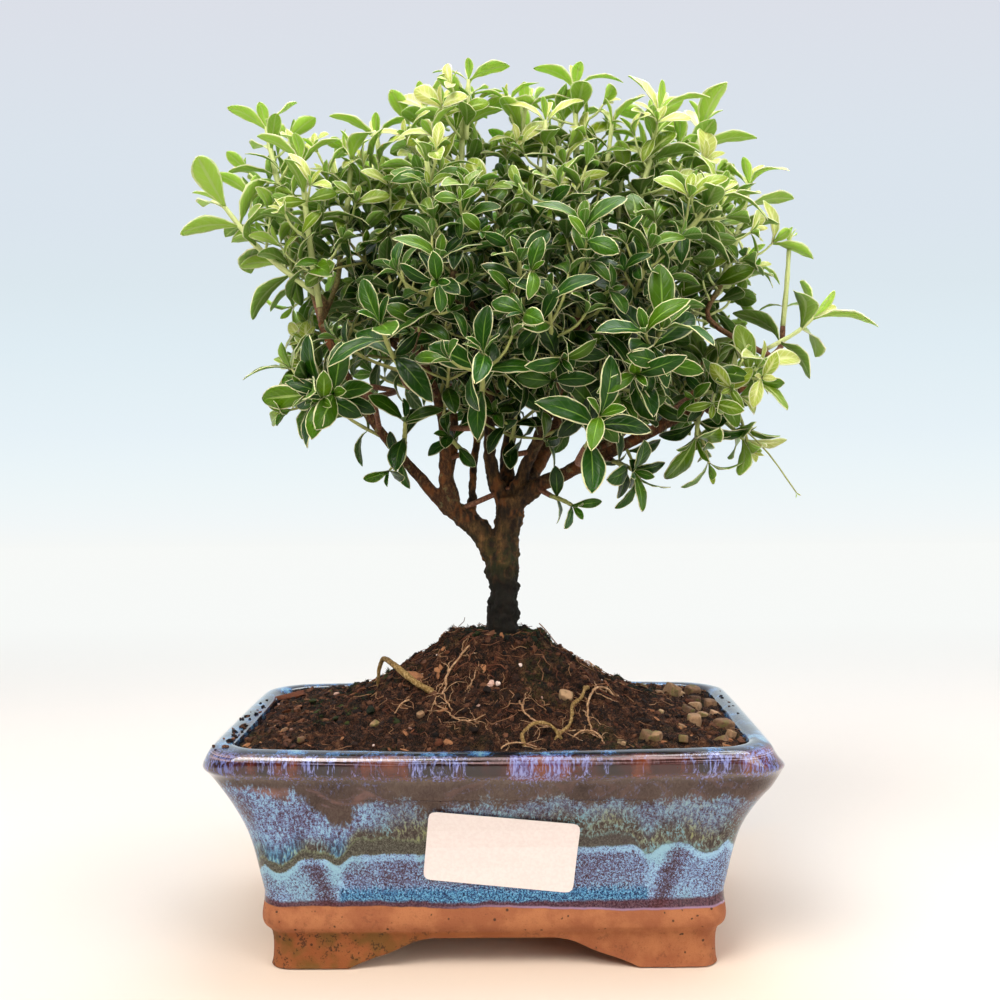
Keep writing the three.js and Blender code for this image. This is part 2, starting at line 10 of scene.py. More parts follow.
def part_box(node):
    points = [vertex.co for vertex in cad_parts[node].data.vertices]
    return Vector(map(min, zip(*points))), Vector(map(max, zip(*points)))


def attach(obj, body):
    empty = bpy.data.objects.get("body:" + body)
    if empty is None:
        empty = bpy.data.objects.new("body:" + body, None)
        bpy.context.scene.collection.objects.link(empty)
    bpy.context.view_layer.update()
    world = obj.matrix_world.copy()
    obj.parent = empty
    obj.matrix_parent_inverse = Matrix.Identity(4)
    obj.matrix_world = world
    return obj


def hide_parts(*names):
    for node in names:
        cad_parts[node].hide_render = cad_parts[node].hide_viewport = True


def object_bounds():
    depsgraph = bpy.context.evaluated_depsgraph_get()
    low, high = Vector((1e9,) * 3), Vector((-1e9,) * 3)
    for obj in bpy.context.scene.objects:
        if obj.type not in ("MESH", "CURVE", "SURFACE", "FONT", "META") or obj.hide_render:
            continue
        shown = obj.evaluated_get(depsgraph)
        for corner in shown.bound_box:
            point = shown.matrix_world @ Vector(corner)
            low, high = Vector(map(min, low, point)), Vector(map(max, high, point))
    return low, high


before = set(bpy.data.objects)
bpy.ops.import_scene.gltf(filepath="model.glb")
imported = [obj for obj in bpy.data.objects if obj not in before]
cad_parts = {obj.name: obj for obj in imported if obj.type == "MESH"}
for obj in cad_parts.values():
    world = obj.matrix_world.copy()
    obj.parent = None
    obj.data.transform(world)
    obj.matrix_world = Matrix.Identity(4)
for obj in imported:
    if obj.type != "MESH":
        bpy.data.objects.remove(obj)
cad_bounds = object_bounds()

MM = 0.001
TURN = 2 * pi
pot_low, pot_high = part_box("pot")
SHIFT = Vector(((pot_low.x + pot_high.x) / 2, (pot_low.y + pot_high.y) / 2, 0))


# Driving dimensions, the same as the CAD source's.

POT_WALL = [  # height, half of the outer width
    (0, 72.9), (0.5, 72.9), (2, 72.3), (12.2, 72.4), (13.4, 75.2), (17, 75.8), (20.4, 75.2),
    (24, 75), (25.2, 75.3), (34, 76.8), (41, 78.4), (47, 80.4), (54.6, 83.8), (58, 85.6),
    (59.2, 86.2), (65.2, 88.6), (66.2, 90.8), (69.6, 91.6), (72.2, 90.9), (73.2, 89.1),
]
FLARE_LEFT = [  # height, how much further the left side leans out than the long ones
    (0, 0), (24, 0), (34, 0.7), (47, 1.2), (59.2, 2.1), (62.9, 3), (65.2, 3.8), (66.6, 3),
    (68.5, 1.5), (69.6, 0.9), (72, 0.4), (80, 0.3),
]
FLARE_RIGHT = [  # the same for the right side
    (0, 0), (24, 0), (34, 0.7), (47, 1.2), (55, 3), (59.2, 4.6), (62.9, 5.8), (65.2, 5.4),
    (66.6, 2.6), (68.5, 0.2), (69.6, -0.8), (72, -0.8), (80, -0.4),
]
POT_INSIDE = [  # height, half of the inner width
    (16, 68.6), (34, 70.6), (47, 74.4), (58, 79.1), (69, 82.4), (74.2, 83),
]
DEPTH_LESS = 29  # half of the depth is this much less than half of the width
POT_HEIGHT = 73.2
BOW = 5.5  # how far the long sides bulge at the lip
BOW_FROM = 24
BODY_CORNER = 7
LIP_CORNER = 14
POT_FLOOR = 10.2
DRAIN_SPACING = 72
ARCH = [  # half of the width of the gap between the feet, height
    (48, -1), (47, 0.4), (40, 3.3), (33, 5.6), (25.5, 9), (20, POT_FLOOR),
]

MOUND_CORE = 17  # how far the flat top of the mound reaches
MOUND = [  # share of the way from there to the wall, height
    (0, 101.6), (0.05, 97.2), (0.12, 94.7), (0.22, 90.4), (0.34, 85.4), (0.52, 80.4),
    (0.72, 75.8), (0.88, 73), (1, 71.6),
]

TRUNK = [  # x, y, z, radius
    (2.6, 0, 64, 5), (2.6, 0, 84, 6.2), (2.6, 0, 101, 6.5), (3.2, 0, 110, 5.6),
    (3.5, 0, 117.5, 5.2), (3.1, 0, 124, 6.2), (2.9, 0, 131, 5.8), (4.6, 0, 138, 4.7),
    (5.6, 0, 144, 5.5), (6.2, 0, 150, 5.8),
]
LIMBS = [  # each from the trunk outwards
    [(2, 0, 127, 5.2), (-4.5, 0, 137, 4.2), (-12, -1, 144, 3.9), (-18, -3, 148.5, 2.6),
     (-31, -5, 163, 1.8), (-44, -8, 180, 1.7), (-55, -11, 201, 1.6), (-60, -9, 212, 1.4)],
    [(-14, -3, 146, 3.2), (-16.5, -5, 157, 2.9), (-17, -8, 168, 1.9), (-18.5, -11, 182, 1.7),
     (-23, -18, 196, 1.5), (-28, -26, 212, 1.3)],
    [(-8, 0, 143, 2), (-7.5, 3, 158, 1.4), (-6.5, 6, 168, 1.4), (-4.5, 9, 185, 1.5),
     (-3, 11, 208, 1.4), (-2, 8, 232, 1.2)],
    [(4, 0, 148, 3.6), (-0.5, 0, 159, 2.7), (-1.5, -2, 170, 2.1), (-1, -6, 183, 1.9),
     (-4, -14, 202, 1.6), (-9, -20, 224, 1.2)],
    [(7, 0, 148, 3.8), (11, -2, 160, 2.2), (15.5, -5, 170, 2.2), (21, -9, 184, 2),
     (31, -14, 204, 1.6), (39, -16, 226, 1.2)],
    [(8, -1, 149, 3.6), (17, -6, 155, 2.9), (28, -12, 160, 2.3), (38, -16, 165, 2.2),
     (54, -19, 173, 2), (68, -17, 180, 1.8), (83, -14, 186, 1.6), (97, -10, 199, 1.4)],
    [(6, 1, 148, 3.4), (4.5, 8, 163, 2.6), (6, 18, 180, 2.2), (-2, 32, 196, 1.7),
     (-12, 46, 216, 1.3)],
    [(8, 1, 149, 3.4), (17, 10, 163, 2.6), (25, 22, 180, 2.2), (38, 38, 198, 1.6),
     (50, 48, 216, 1.3)],
    [(-16.5, -5, 158, 2.2), (-14.5, 2, 168, 1.6), (-16, 12, 184, 1.6), (-30, 25, 200, 1.5),
     (-46, 36, 214, 1.3)],
    [(24, -9, 158, 2.2), (41, 8, 169, 1.8), (62, 26, 185, 1.6), (80, 36, 201, 1.3)],
    [(19, -8, 180, 2), (26, 4, 198, 1.7), (34, 6, 218, 1.5), (42, 4, 238, 1.2)],
    [(-4.5, 9, 185, 1.6), (-17, 8, 206, 1.5), (-26, 4, 226, 1.2)],
]
ROOTS = [  # thick surface roots, from the buried stock outwards
    [(0, -2, 84, 2), (-16, -20, 84, 1.6), (-25, -23, 87.5, 1.4), (-34, -15, 92.6, 1.35),
     (-39, -9, 94, 1.15), (-41, -6, 87, 0.9), (-41, -3, 79, 0.8)],
    [(4, -3, 80, 2), (7, -26, 78, 1.6), (11, -46, 69, 1), (10.2, -49.8, 73, 0.8),
     (9.3, -47.5, 76.6, 0.8), (12.9, -45.5, 79.4, 0.8), (17.2, -44.5, 79.2, 0.8),
     (20.2, -44.5, 76.8, 0.75), (24, -45, 71, 0.7)],
    [(6, -2, 84, 2), (24, -12, 84, 1.6), (31.5, -18, 85.2, 0.95), (31, -22.5, 86.2, 0.9),
     (29, -28, 83.8, 0.9), (26.2, -31, 82.4, 0.85), (25.6, -37, 79.8, 0.8), (24.3, -41, 77.4, 0.8),
     (20.5, -45, 75.2, 0.75), (18, -47, 70, 0.7)],
]

FRONT_SHOOTS = [  # foot, tip, pairs of leaves, leaf length
    ((-72, 4, 247), (-83, 12, 286), 4, 18),
    ((-60, -12, 217), (-66, -14, 268), 4, 19),
    ((-62, -8, 222), (-95, -5, 254), 4, 22),
    ((-54, -3, 236), (-50, -2, 271), 3, 20),
    ((-49, -24, 186), (-58, -31, 186), 3, 22),
    ((-31, -10, 170), (-30, -18, 177), 2, 17),
    ((-35, 6, 240), (-42, 8, 281), 4, 18),
    ((-21, 10, 252), (-25, 14, 294), 4, 18),
    ((-12, -7, 247), (-10, -6, 290), 4, 18),
    ((3, 2, 252), (12, 6, 291), 4, 18),
    ((31, 4, 255), (30, 5, 298), 4, 19),
    ((50, -4, 248), (59, -6, 287), 4, 19),
    ((68, 12, 246), (77, 16, 286), 4, 21),
    ((82, 3, 226), (93, 6, 263), 4, 19),
    ((104, 2, 211), (107, 4, 242), 2, 9),
    ((96, -9, 202), (113, -6, 213), 3, 22),
    ((80, -20, 186), (88, -32, 194), 3, 18),
    ((75, -12, 180), (86, -18, 170), 3, 17),
    ((-18, -28, 238), (-21, -36, 262), 3, 17),
    ((26, -36, 230), (22, -46, 252), 3, 17),
    ((49, -30, 226), (74, -36, 250), 4, 20),
    ((-12, -38, 226), (-8, -49, 248), 3, 16),
    ((28, -42, 210), (29, -58, 236), 3, 18),
    ((-23, -42, 207), (-16, -60, 226), 3, 17),
    ((44, -42, 212), (50, -54, 230), 3, 17),
    ((10, -46, 205), (9, -62, 225), 3, 17),
    ((20, -50, 192), (18, -67, 212), 3, 19),
    ((-30, -40, 194), (-34, -58, 206), 3, 22),
    ((40, -44, 188), (53, -62, 204), 3, 23),
    ((-3, -48, 183), (-2, -68, 196), 3, 20),
    ((30, -48, 168), (33, -68, 177), 3, 21),
    ((71, -23, 186), (76, -33, 186), 3, 16),
    ((70, -22, 178), (68, -29, 171), 2, 21),
    ((41, -20, 163), (47, -29, 160), 3, 16),
    ((20, -12, 151), (27, -19, 148), 2, 13),
    ((-11, -6, 167), (-15, -15, 172), 3, 13),
]
BACK_CENTRE = (10, 2, 196)
BACK_ROWS = [(2, 0.74, 6, 26), (42, 0.8, 5, 30), (76, 0.58, 3, 32)]  # rise, out, count, length
BACK_REACH = (112, 100)
BACK_LEAF = 19
INNER_SHOOTS = [  # as the front shoots
    ((16, 8, 194), (22, 20, 226), 3, 17),
    ((-14, 12, 198), (-16, 20, 234), 3, 17),
    ((50, 6, 198), (58, 10, 230), 3, 17),
    ((6, -9, 168), (8, -19, 180), 3, 16),
]
LEAF_TWIST = 1.2
HANGING_SHOOTS = [  # foot, tip, pairs of leaves, leaf length, half the stem's thickness
    ((-47, -9, 186), (-70, -17, 181), 3, 16, 0.6),
    ((-31, -6, 165), (-36, -14, 160), 2, 12, 0.5),
    ((45, -17, 169), (49, -24, 157), 3, 14, 0.6),
    ((68, -17, 180), (73, -24, 162), 3, 15, 0.6),
    ((82, -14, 186), (87, -20, 169), 3, 14, 0.6),
    ((76, -16, 183), (103, -22, 152), 1, 4, 0.35),
]
TOP_SHOOTS = [  # the same, upright, to fill the top of the crown
    ((18, -4, 256), (19, -7, 283), 3, 17, 1),
    ((39, 2, 258), (43, 1, 284), 3, 17, 1),
    ((24, 12, 258), (25, 15, 288), 3, 18, 1),
    ((46, 12, 252), (48, 16, 278), 3, 17, 1),
    ((-9, -8, 276), (-8, -8, 297), 2, 15, 1),
    ((74, -6, 232), (80, -10, 252), 3, 17, 0.9),
]
LIMB_STEPS = 12  # places along a limb where a twig can start, but for the first few
TWIG_FIRST_STEP = 4
TWIG_RISE = 6
MASK = 0xFFFFFFFF
SOIL_SEED, WOOD_SEED, LEAF_SEED, SPRIG_SEED, EXTRA_SEED, LIMB_SEED = 41, 7, 100, 500, 700, 900


def seeded(seed):
    """Random numbers from 0 to 1, the same on every run and the same as the CAD source's."""
    state = seed & MASK

    def draw():
        nonlocal state
        state = (state + 0x6D2B79F5) & MASK
        mixed = ((state ^ (state >> 15)) * (state | 1)) & MASK
        mixed ^= (mixed + (((mixed ^ (mixed >> 7)) * (mixed | 61)) & MASK)) & MASK
        return (mixed ^ (mixed >> 14)) / 4294967296

    return draw


def lerp(start, end, share):
    return start + (end - start) * share


def step(value, low, high):
    """0 below low, 1 above high, and smooth between."""
    share = min(max((value - low) / (high - low), 0), 1)
    return share * share * (3 - 2 * share)


def value_at(rows, place):
    above = next((i for i, (start, _) in enumerate(rows) if start >= place), len(rows) - 1)
    (p0, v0), (p1, v1) = rows[max(above, 1) - 1], rows[max(above, 1)]
    return lerp(v0, v1, (place - p0) / (p1 - p0))


# The camera, the floor and the light.

def colour(code):
    """A linear colour from the sRGB code of a paint chip, such as 8a6b4c."""
    parts = [int(code[i:i + 2], 16) / 255 for i in (0, 2, 4)]
    return tuple(p / 12.92 if p <= 0.04045 else ((p + 0.055) / 1.055) ** 2.4 for p in parts) + (1,)


def deselect():
    bpy.ops.object.select_all(action="DESELECT")


CAMERA_PLACE = (6.2, -437, 167)
CAMERA_ROLL = 0.3
CAMERA = {
    "lens": 44.03, "sensor_width": 36, "shift_x": -0.011, "shift_y": -0.05, "clip_start": 0.01,
}


def camera():
    bpy.ops.object.camera_add(
        location=SHIFT + Vector(CAMERA_PLACE) * MM, rotation=(radians(90), radians(CAMERA_ROLL), 0),
    )
    made = bpy.context.object
    made.name = "camera"
    for name, value in CAMERA.items():
        setattr(made.data, name, value)
    bpy.context.scene.camera = made


def softbox(name, place, size, power, tint="ffffff", target=(0, 0, 0.16), thin=1):
    """A soft light that faces a target, as a rule the middle of the crown."""
    bpy.ops.object.light_add(type="AREA", location=place)
    lamp = bpy.context.object
    lamp.name = name
    lamp.data.shape = "RECTANGLE"
    lamp.data.size = size
    lamp.data.size_y = size * thin
    lamp.data.energy = power
    lamp.data.color = colour(tint)[:3]
    way = Vector(target) - Vector(place)
    lamp.rotation_euler = way.to_track_quat("-Z", "Y").to_euler()


def maths(operation, last=False):
    """A method that adds a Math node, with its own signal as the first value or as the last."""
    def method(signal, *others):
        values = (*others, signal) if last else (signal, *others)
        return signal.finish.node("Math", {"operation": operation}, dict(enumerate(values)))

    return method


class Signal:
    """The value of one socket in a finish. Arithmetic on it adds Math nodes."""

    __add__, __radd__ = maths("ADD"), maths("ADD", True)
    __sub__, __rsub__ = maths("SUBTRACT"), maths("SUBTRACT", True)
    __mul__, __rmul__ = maths("MULTIPLY"), maths("MULTIPLY", True)
    __truediv__, __pow__, __abs__ = maths("DIVIDE"), maths("POWER"), maths("ABSOLUTE")
    least, most, sine = maths("MINIMUM"), maths("MAXIMUM"), maths("SINE")

    def __init__(self, finish, socket):
        self.finish = finish
        self.socket = socket

    def __neg__(self):
        return self * -1

    def step(self, low, high):
        """0 below low, 1 above high, and smooth between."""
        return self.finish.node(
            "MapRange",
            {"interpolation_type": "SMOOTHSTEP"},
            {"Value": self, "From Min": low, "From Max": high, "To Min": 0, "To Max": 1},
        )

    def between(self, low, high, soft):
        """1 from low to high, and 0 outside, with soft ends."""
        return self.step(low - soft, low + soft) * (1 - self.step(high - soft, high + soft))


class Finish:
    """A material on the principled shader, built from nodes."""

    def __init__(self, name):
        self.material = bpy.data.materials.new(name)
        self.material.use_nodes = True
        self.tree = self.material.node_tree
        self.tree.nodes.clear()
        self.shader = self.tree.nodes.new("ShaderNodeBsdfPrincipled")
        output = self.tree.nodes.new("ShaderNodeOutputMaterial")
        self.tree.links.new(self.shader.outputs[0], output.inputs[0])

    def connect(self, value, socket):
        if isinstance(value, Signal):
            self.tree.links.new(value.socket, socket)
        else:
            socket.default_value = value

    def node(self, kind, settings, inputs, output=0):
        """Adds a node: its settings first, then the values or links of its sockets."""
        made = self.tree.nodes.new("ShaderNode" + kind)
        for name, value in settings.items():
            if name == "stops":
                self.set_stops(made.color_ramp, value)
            else:
                setattr(made, name, value)
        for key, value in inputs.items():
            self.connect(value, made.inputs[key])
        return Signal(self, made.outputs[output])

    def set_stops(self, ramp, stops):
        while len(ramp.elements) < len(stops):
            ramp.elements.new(0.5)
        for element, (place, code) in zip(ramp.elements, stops):
            element.position = place
            element.color = colour(code)

    def place(self, scale=(1, 1, 1)):
        """Millimetres from the middle of the pot, stretched."""
        at = self.node("TexCoord", {}, {}, "Object")
        size = Vector(scale) / MM
        away = [-part * stretch for part, stretch in zip(SHIFT, size)]
        return self.node("Mapping", {}, {"Vector": at, "Location": away, "Scale": size})

    def split(self, vector):
        cut = self.node("SeparateXYZ", {}, {"Vector": vector})
        outputs = cut.socket.node.outputs
        return [Signal(self, outputs[axis]) for axis in "XYZ"]

    def attribute(self, name):
        return self.node("Attribute", {"attribute_name": name}, {}, "Fac")

    def noise(self, scale, detail=2, rough=0.5, stretch=(1, 1, 1), twist=0):
        inputs = {
            "Vector": self.place(stretch), "Scale": scale, "Detail": detail,
            "Roughness": rough, "Distortion": twist,
        }
        return self.node("TexNoise", {}, inputs)

    def cells(self, scale, stretch=(1, 1, 1)):
        return self.node("TexVoronoi", {}, {"Vector": self.place(stretch), "Scale": scale})

    def mix(self, share, first, second):
        first, second = (colour(c) if isinstance(c, str) else c for c in (first, second))
        return self.node("Mix", {"data_type": "RGBA"}, {0: share, 6: first, 7: second}, 2)

    def coat(self, shade, *layers):
        """Lays paints over a shade one after another, each by its share."""
        for share, paint in layers:
            shade = self.mix(share, shade, paint)
        return shade

    def ramp(self, value, *stops):
        return self.node("ValToRGB", {"stops": stops}, {"Fac": value})

    def bump(self, height, distance, strength=1.0):
        inputs = {"Height": height, "Distance": distance, "Strength": strength}
        return self.node("Bump", {}, inputs)

    def set(self, **sockets):
        for name, value in sockets.items():
            value = colour(value) if isinstance(value, str) else value
            self.connect(value, self.shader.inputs[name.replace("_", " ")])
        return self.material


def stage():
    """A pale floor that curves up into a backdrop, both with painted light."""
    deselect()
    bpy.ops.mesh.primitive_plane_add(size=8, location=(0, -2.3, 0))
    floor = bpy.context.object
    floor.name = "floor"
    bpy.ops.object.mode_set(mode="EDIT")
    mesh = bmesh.from_edit_mesh(floor.data)
    for edge in mesh.edges:
        edge.select_set(all(v.co.y > 3 for v in edge.verts))
    bpy.ops.mesh.extrude_region_move(TRANSFORM_OT_translate={"value": (0, 0, 4)})
    mesh = bmesh.from_edit_mesh(floor.data)
    for edge in mesh.edges:
        edge.select_set(all(v.co.y > 3 and v.co.z < 1 for v in edge.verts))
    bpy.ops.mesh.bevel(offset=0.7, segments=16)
    bpy.ops.object.mode_set(mode="OBJECT")
    bpy.ops.object.shade_smooth()
    finish = Finish("paper_backdrop")
    x, y, z = finish.split(finish.place())
    # Painted light: the floor is darker towards the back, and a painted warm reflection of the clay
    # lies under and round the pot.
    far = finish.mix(y.step(60, 600), "cfc9c3", "c0bdba")
    near = (abs(x) - 60).most(abs(y) - 40).most(0)
    far = finish.mix((1 - near.step(0, 80)) * 0.8, far, "dcc7b3")
    # Painted light: the backdrop glows by height, palest at its foot, instead of being lit by the
    # lamps.
    wall = y.step(120, 760)
    glow = finish.ramp(
        z / 1000, (0, "f6f8f6"), (0.042, "f2f7f8"), (0.094, "eef6f8"), (0.15, "eaf4f8"),
        (0.205, "e6f1f7"), (0.27, "e3eff5"), (0.35, "dfecf3"), (0.46, "dbe7ee"),
        (0.58, "dae4ed"), (0.7, "dae3ec"), (0.95, "dbdfe8"),
    )
    shade = finish.mix(wall, far, "000000")
    glow = finish.mix(wall, "000000", glow)
    floor.data.materials.append(
        finish.set(
            Base_Color=shade, Roughness=0.9, Specular_IOR_Level=0.1, Emission_Color=glow,
            Emission_Strength=1,
        )
    )
    floor.location = (0, -2.3, 0)
    bpy.ops.object.transform_apply(location=True, rotation=False, scale=False)


def daylight():
    """A pale sky, darker behind the camera."""
    world = bpy.data.worlds.new("daylight")
    world.use_nodes = True
    nodes, links = world.node_tree.nodes, world.node_tree.links
    way = nodes.new("ShaderNodeSeparateXYZ")
    links.new(nodes.new("ShaderNodeTexCoord").outputs["Generated"], way.inputs[0])
    share = nodes.new("ShaderNodeMapRange")
    for name, value in (("From Min", -0.7), ("From Max", 0.3), ("To Min", 0.12), ("To Max", 0.6)):
        share.inputs[name].default_value = value
    links.new(way.outputs["Y"], share.inputs["Value"])
    links.new(share.outputs[0], nodes["Background"].inputs["Strength"])
    nodes["Background"].inputs["Color"].default_value = colour("eef4fa")
    bpy.context.scene.world = world
    bpy.context.scene.view_settings.view_transform = "Standard"


camera()
stage()
daylight()
softbox("key_softbox", (-0.55, -0.75, 1.15), 0.8, 18, "fffaf2")
softbox("top_softbox", (0.25, 0.15, 1.3), 0.9, 14, "fbfdff")
softbox("fill_softbox", (0.9, -0.7, 0.5), 0.8, 7, "fffaf4")
for i in range(3):
    softbox(f"strip_light_{i}", (0, -0.55 - 0.22 * i, 1.1), 1.5, 1.2, "fff2f2", (0, 0, 0.07), 0.02)
softbox("backdrop_softbox", (0, 0.45, 1.9), 1.6, 14, "f4f9ff", (0, 1.7, 0.5))


# Modelling helpers.

@contextmanager
def editing(piece, kind="VERT"):
    bpy.context.view_layer.objects.active = piece
    bpy.ops.object.mode_set(mode="EDIT")
    bpy.ops.mesh.select_mode(type=kind)
    yield
    bpy.ops.object.mode_set(mode="OBJECT")


def pick(piece, kind, test):
    """Selects the vertices, edges or faces that pass a test, and nothing else."""
    mesh = bmesh.from_edit_mesh(piece.data)
    bpy.ops.mesh.select_all(action="DESELECT")
    for element in getattr(mesh, kind):
        if test(element):
            element.select_set(True)
    mesh.select_flush_mode()
    bmesh.update_edit_mesh(piece.data)


def named(name):
    piece = bpy.context.object
    piece.name = name
    piece.data.name = name
    return piece


def alone(piece):
    deselect()
    piece.select_set(True)
    bpy.context.view_layer.objects.active = piece


def smooth(piece):
    alone(piece)
    bpy.ops.object.shade_smooth()


def apply_transform():
    bpy.ops.object.transform_apply(location=True, rotation=True, scale=True)


def select_whole():
    bpy.ops.mesh.select_all(action="SELECT")


def paint(piece, material):
    piece.data.materials.clear()
    piece.data.materials.append(material)


def mark(piece, name, value):
    """Gives every vertex a value that the finish reads."""
    layer = piece.data.attributes.new(name, "FLOAT", "POINT")
    layer.data.foreach_set("value", [value] * len(piece.data.vertices))


def modify(piece, kind, **settings):
    """Adds a modifier and applies it."""
    alone(piece)
    bpy.ops.object.modifier_add(type=kind)
    modifier = piece.modifiers[-1]
    for name, value in settings.items():
        setattr(modifier, name, value)
    bpy.ops.object.modifier_apply(modifier=modifier.name)


def weather(piece, kind, size, strength, group="", **settings):
    """Pushes the surface in and out by a procedural pattern."""
    pattern = bpy.data.textures.new(f"{piece.name}_{kind.lower()}", kind)
    pattern.noise_scale = size * MM
    for name, value in settings.items():
        setattr(pattern, name, value)
    modify(
        piece, "DISPLACE", texture=pattern, strength=strength * MM, mid_level=0.5,
        texture_coords="LOCAL", vertex_group=group,
    )


def close_up(piece, recalculate=True):
    """Merges doubles and turns the faces outwards."""
    with editing(piece):
        select_whole()
        bpy.ops.mesh.remove_doubles(threshold=1e-6)
        if recalculate:
            bpy.ops.mesh.normals_make_consistent(inside=False)


def settle(piece, material, replaced=()):
    """Moves a piece modelled about the pot's middle into the frame, and gives it its finish."""
    alone(piece)
    piece.location = SHIFT
    apply_transform()
    if material is not None:
        paint(piece, material)
    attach(piece, "root")
    if replaced:
        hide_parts(*replaced)
    return piece


def join(pieces, name):
    deselect()
    for piece in pieces:
        piece.select_set(True)
    bpy.context.view_layer.objects.active = pieces[0]
    if len(pieces) > 1:
        bpy.ops.object.join()
    return named(name)


def copy_of(template, matrix, **values):
    """A copy of a modelled template with its own mesh, and its own values for its finish."""
    twin = template.copy()
    twin.data = template.data.copy()
    twin.matrix_world = matrix
    bpy.context.scene.collection.objects.link(twin)
    for name, value in values.items():
        mark(twin, name, value)
    return twin


def tubes(name, runs, sides):
    """Tapering tubes as one mesh. Each run is a list of points with a radius, in millimetres."""
    deselect()
    bpy.ops.curve.primitive_nurbs_path_add(location=(0, 0, 0))
    piece = named(name)
    curve = piece.data
    curve.splines.clear()
    for run in runs:
        spline = curve.splines.new("POLY")
        spline.points.add(len(run) - 1)
        for point, (place, radius) in zip(spline.points, run):
            point.co = (*(Vector(place) * MM), 1)
            point.radius = radius
    curve.bevel_depth = MM
    curve.bevel_resolution = (sides - 4) // 2
    curve.use_fill_caps = True
    bpy.ops.object.convert(target="MESH")
    bpy.ops.object.shade_smooth()
    return named(name)


def curve_point(points, share):
    """A point of the uniform Catmull-Rom curve that the CAD source draws its lines with."""
    last = len(points) - 1
    index = min(int(share * last), last - 1)
    t = share * last - index
    p1, p2 = points[index], points[index + 1]
    p0 = points[index - 1] if index else p1 * 2 - p2
    p3 = points[index + 2] if index + 2 <= last else p2 * 2 - p1
    m1, m2 = (p2 - p0) / 2, (p3 - p1) / 2
    return p1 + m1 * t + (3 * (p2 - p1) - 2 * m1 - m2) * t**2 + (2 * (p1 - p2) + m1 + m2) * t**3


def radius_at(rows, share):
    """The radius at a share of rows whose fourth number is a radius."""
    spot = share * (len(rows) - 1)
    index = min(int(spot), len(rows) - 2)
    return lerp(rows[index][3], rows[index + 1][3], spot - index)


def aside(draw):
    """A random step sideways, up to half a millimetre along each axis."""
    return Vector((draw() - 0.5, draw() - 0.5, 0))


def curve_way(points, share):
    low, high = max(share - 1e-4, 0), min(share + 1e-4, 1)
    return (curve_point(points, high) - curve_point(points, low)).normalized()


def square_to(axis, across):
    return (across - axis * across.dot(axis)).normalized()


def outward(axis, across, angle):
    """A way square to an axis, at an angle round it."""
    return across * cos(angle) + axis.cross(across) * sin(angle)


# The pot.

def corner_at(z):
    return lerp(BODY_CORNER, LIP_CORNER, min(max(z / POT_HEIGHT, 0), 1))


def rounded_block(name, rows, segments):
    """A closed block with round corners, drawn up through rows of height, half width and corner."""
    z, half, corner = rows[0]
    deselect()
    bpy.ops.mesh.primitive_plane_add(size=2, location=(0, 0, z * MM))
    piece = named(name)
    bpy.ops.transform.resize(value=(half * MM, (half - DEPTH_LESS) * MM, 1))
    apply_transform()
    with editing(piece):
        select_whole()
        bpy.ops.mesh.bevel(offset=corner * MM, segments=segments, affect="VERTICES")
        for place in (-half / 2, 0, half / 2):
            select_whole()
            bpy.ops.mesh.bisect(plane_co=(place * MM, 0, 0), plane_no=(1, 0, 0))
        bpy.ops.mesh.select_mode(type="FACE")
        select_whole()
        for row in rows[1:]:
            bpy.ops.mesh.extrude_region_move()
            mesh = bmesh.from_edit_mesh(piece.data)
            for vertex in (v for v in mesh.verts if v.select):
                vertex.co = moved_corner(vertex.co / MM, (z, half, corner), row) * MM
            bmesh.update_edit_mesh(piece.data)
            z, half, corner = row
    close_up(piece)
    return piece


def bow_at(share, z):
    """How far a long side curves back at a place, from its middle (0) to the corner (1)."""
    return BOW * share * share * max(0, (z - BOW_FROM) / (POT_HEIGHT - BOW_FROM))


def moved_corner(point, before, row):
    """A point of one rounded rectangle, moved to the same point of the next row."""
    (z0, half0, corner0), (z1, half1, corner1) = before, row
    straight = point.copy()
    straight.y += copysign(bow_at(point.x / half0, z0), point.y)
    moved = Vector((0, 0, z1))
    flare = FLARE_LEFT if point.x < 0 else FLARE_RIGHT
    flare0, flare1 = value_at(flare, z0), value_at(flare, z1)
    for axis, more0, more1 in ((0, flare0, flare1), (1, -DEPTH_LESS, -DEPTH_LESS)):
        side0, side1 = half0 + more0 - corner0, half1 + more1 - corner1
        along = abs(straight[axis])
        if along < side0:
            along *= side1 / side0
        else:
            along = side1 + (along - side0) * corner1 / corner0
        moved[axis] = copysign(along, straight[axis])
    moved.y -= copysign(bow_at(moved.x / half1, z1), moved.y)
    return moved


PANEL_HALF = 50  # half the length of the long sides' sunk panel
PANEL_Z = (25.3, 58)
PANEL_FRAME, PANEL_SUNK = 1.4, 0.9
WALL_Z = (13, 64)
DRAIN_RADIUS = 6
SKIRT = 7  # thickness of the feet and of the wall between them
LIP_TOP = [  # height, half width
    (73.5, 87.4), (73.5, 85.7), (72.9, 84.3), (71.4, 83.2),
]
INNER_CORNER_LESS = 3


def is_between(z, heights):
    return heights[0] * MM < z < heights[1] * MM


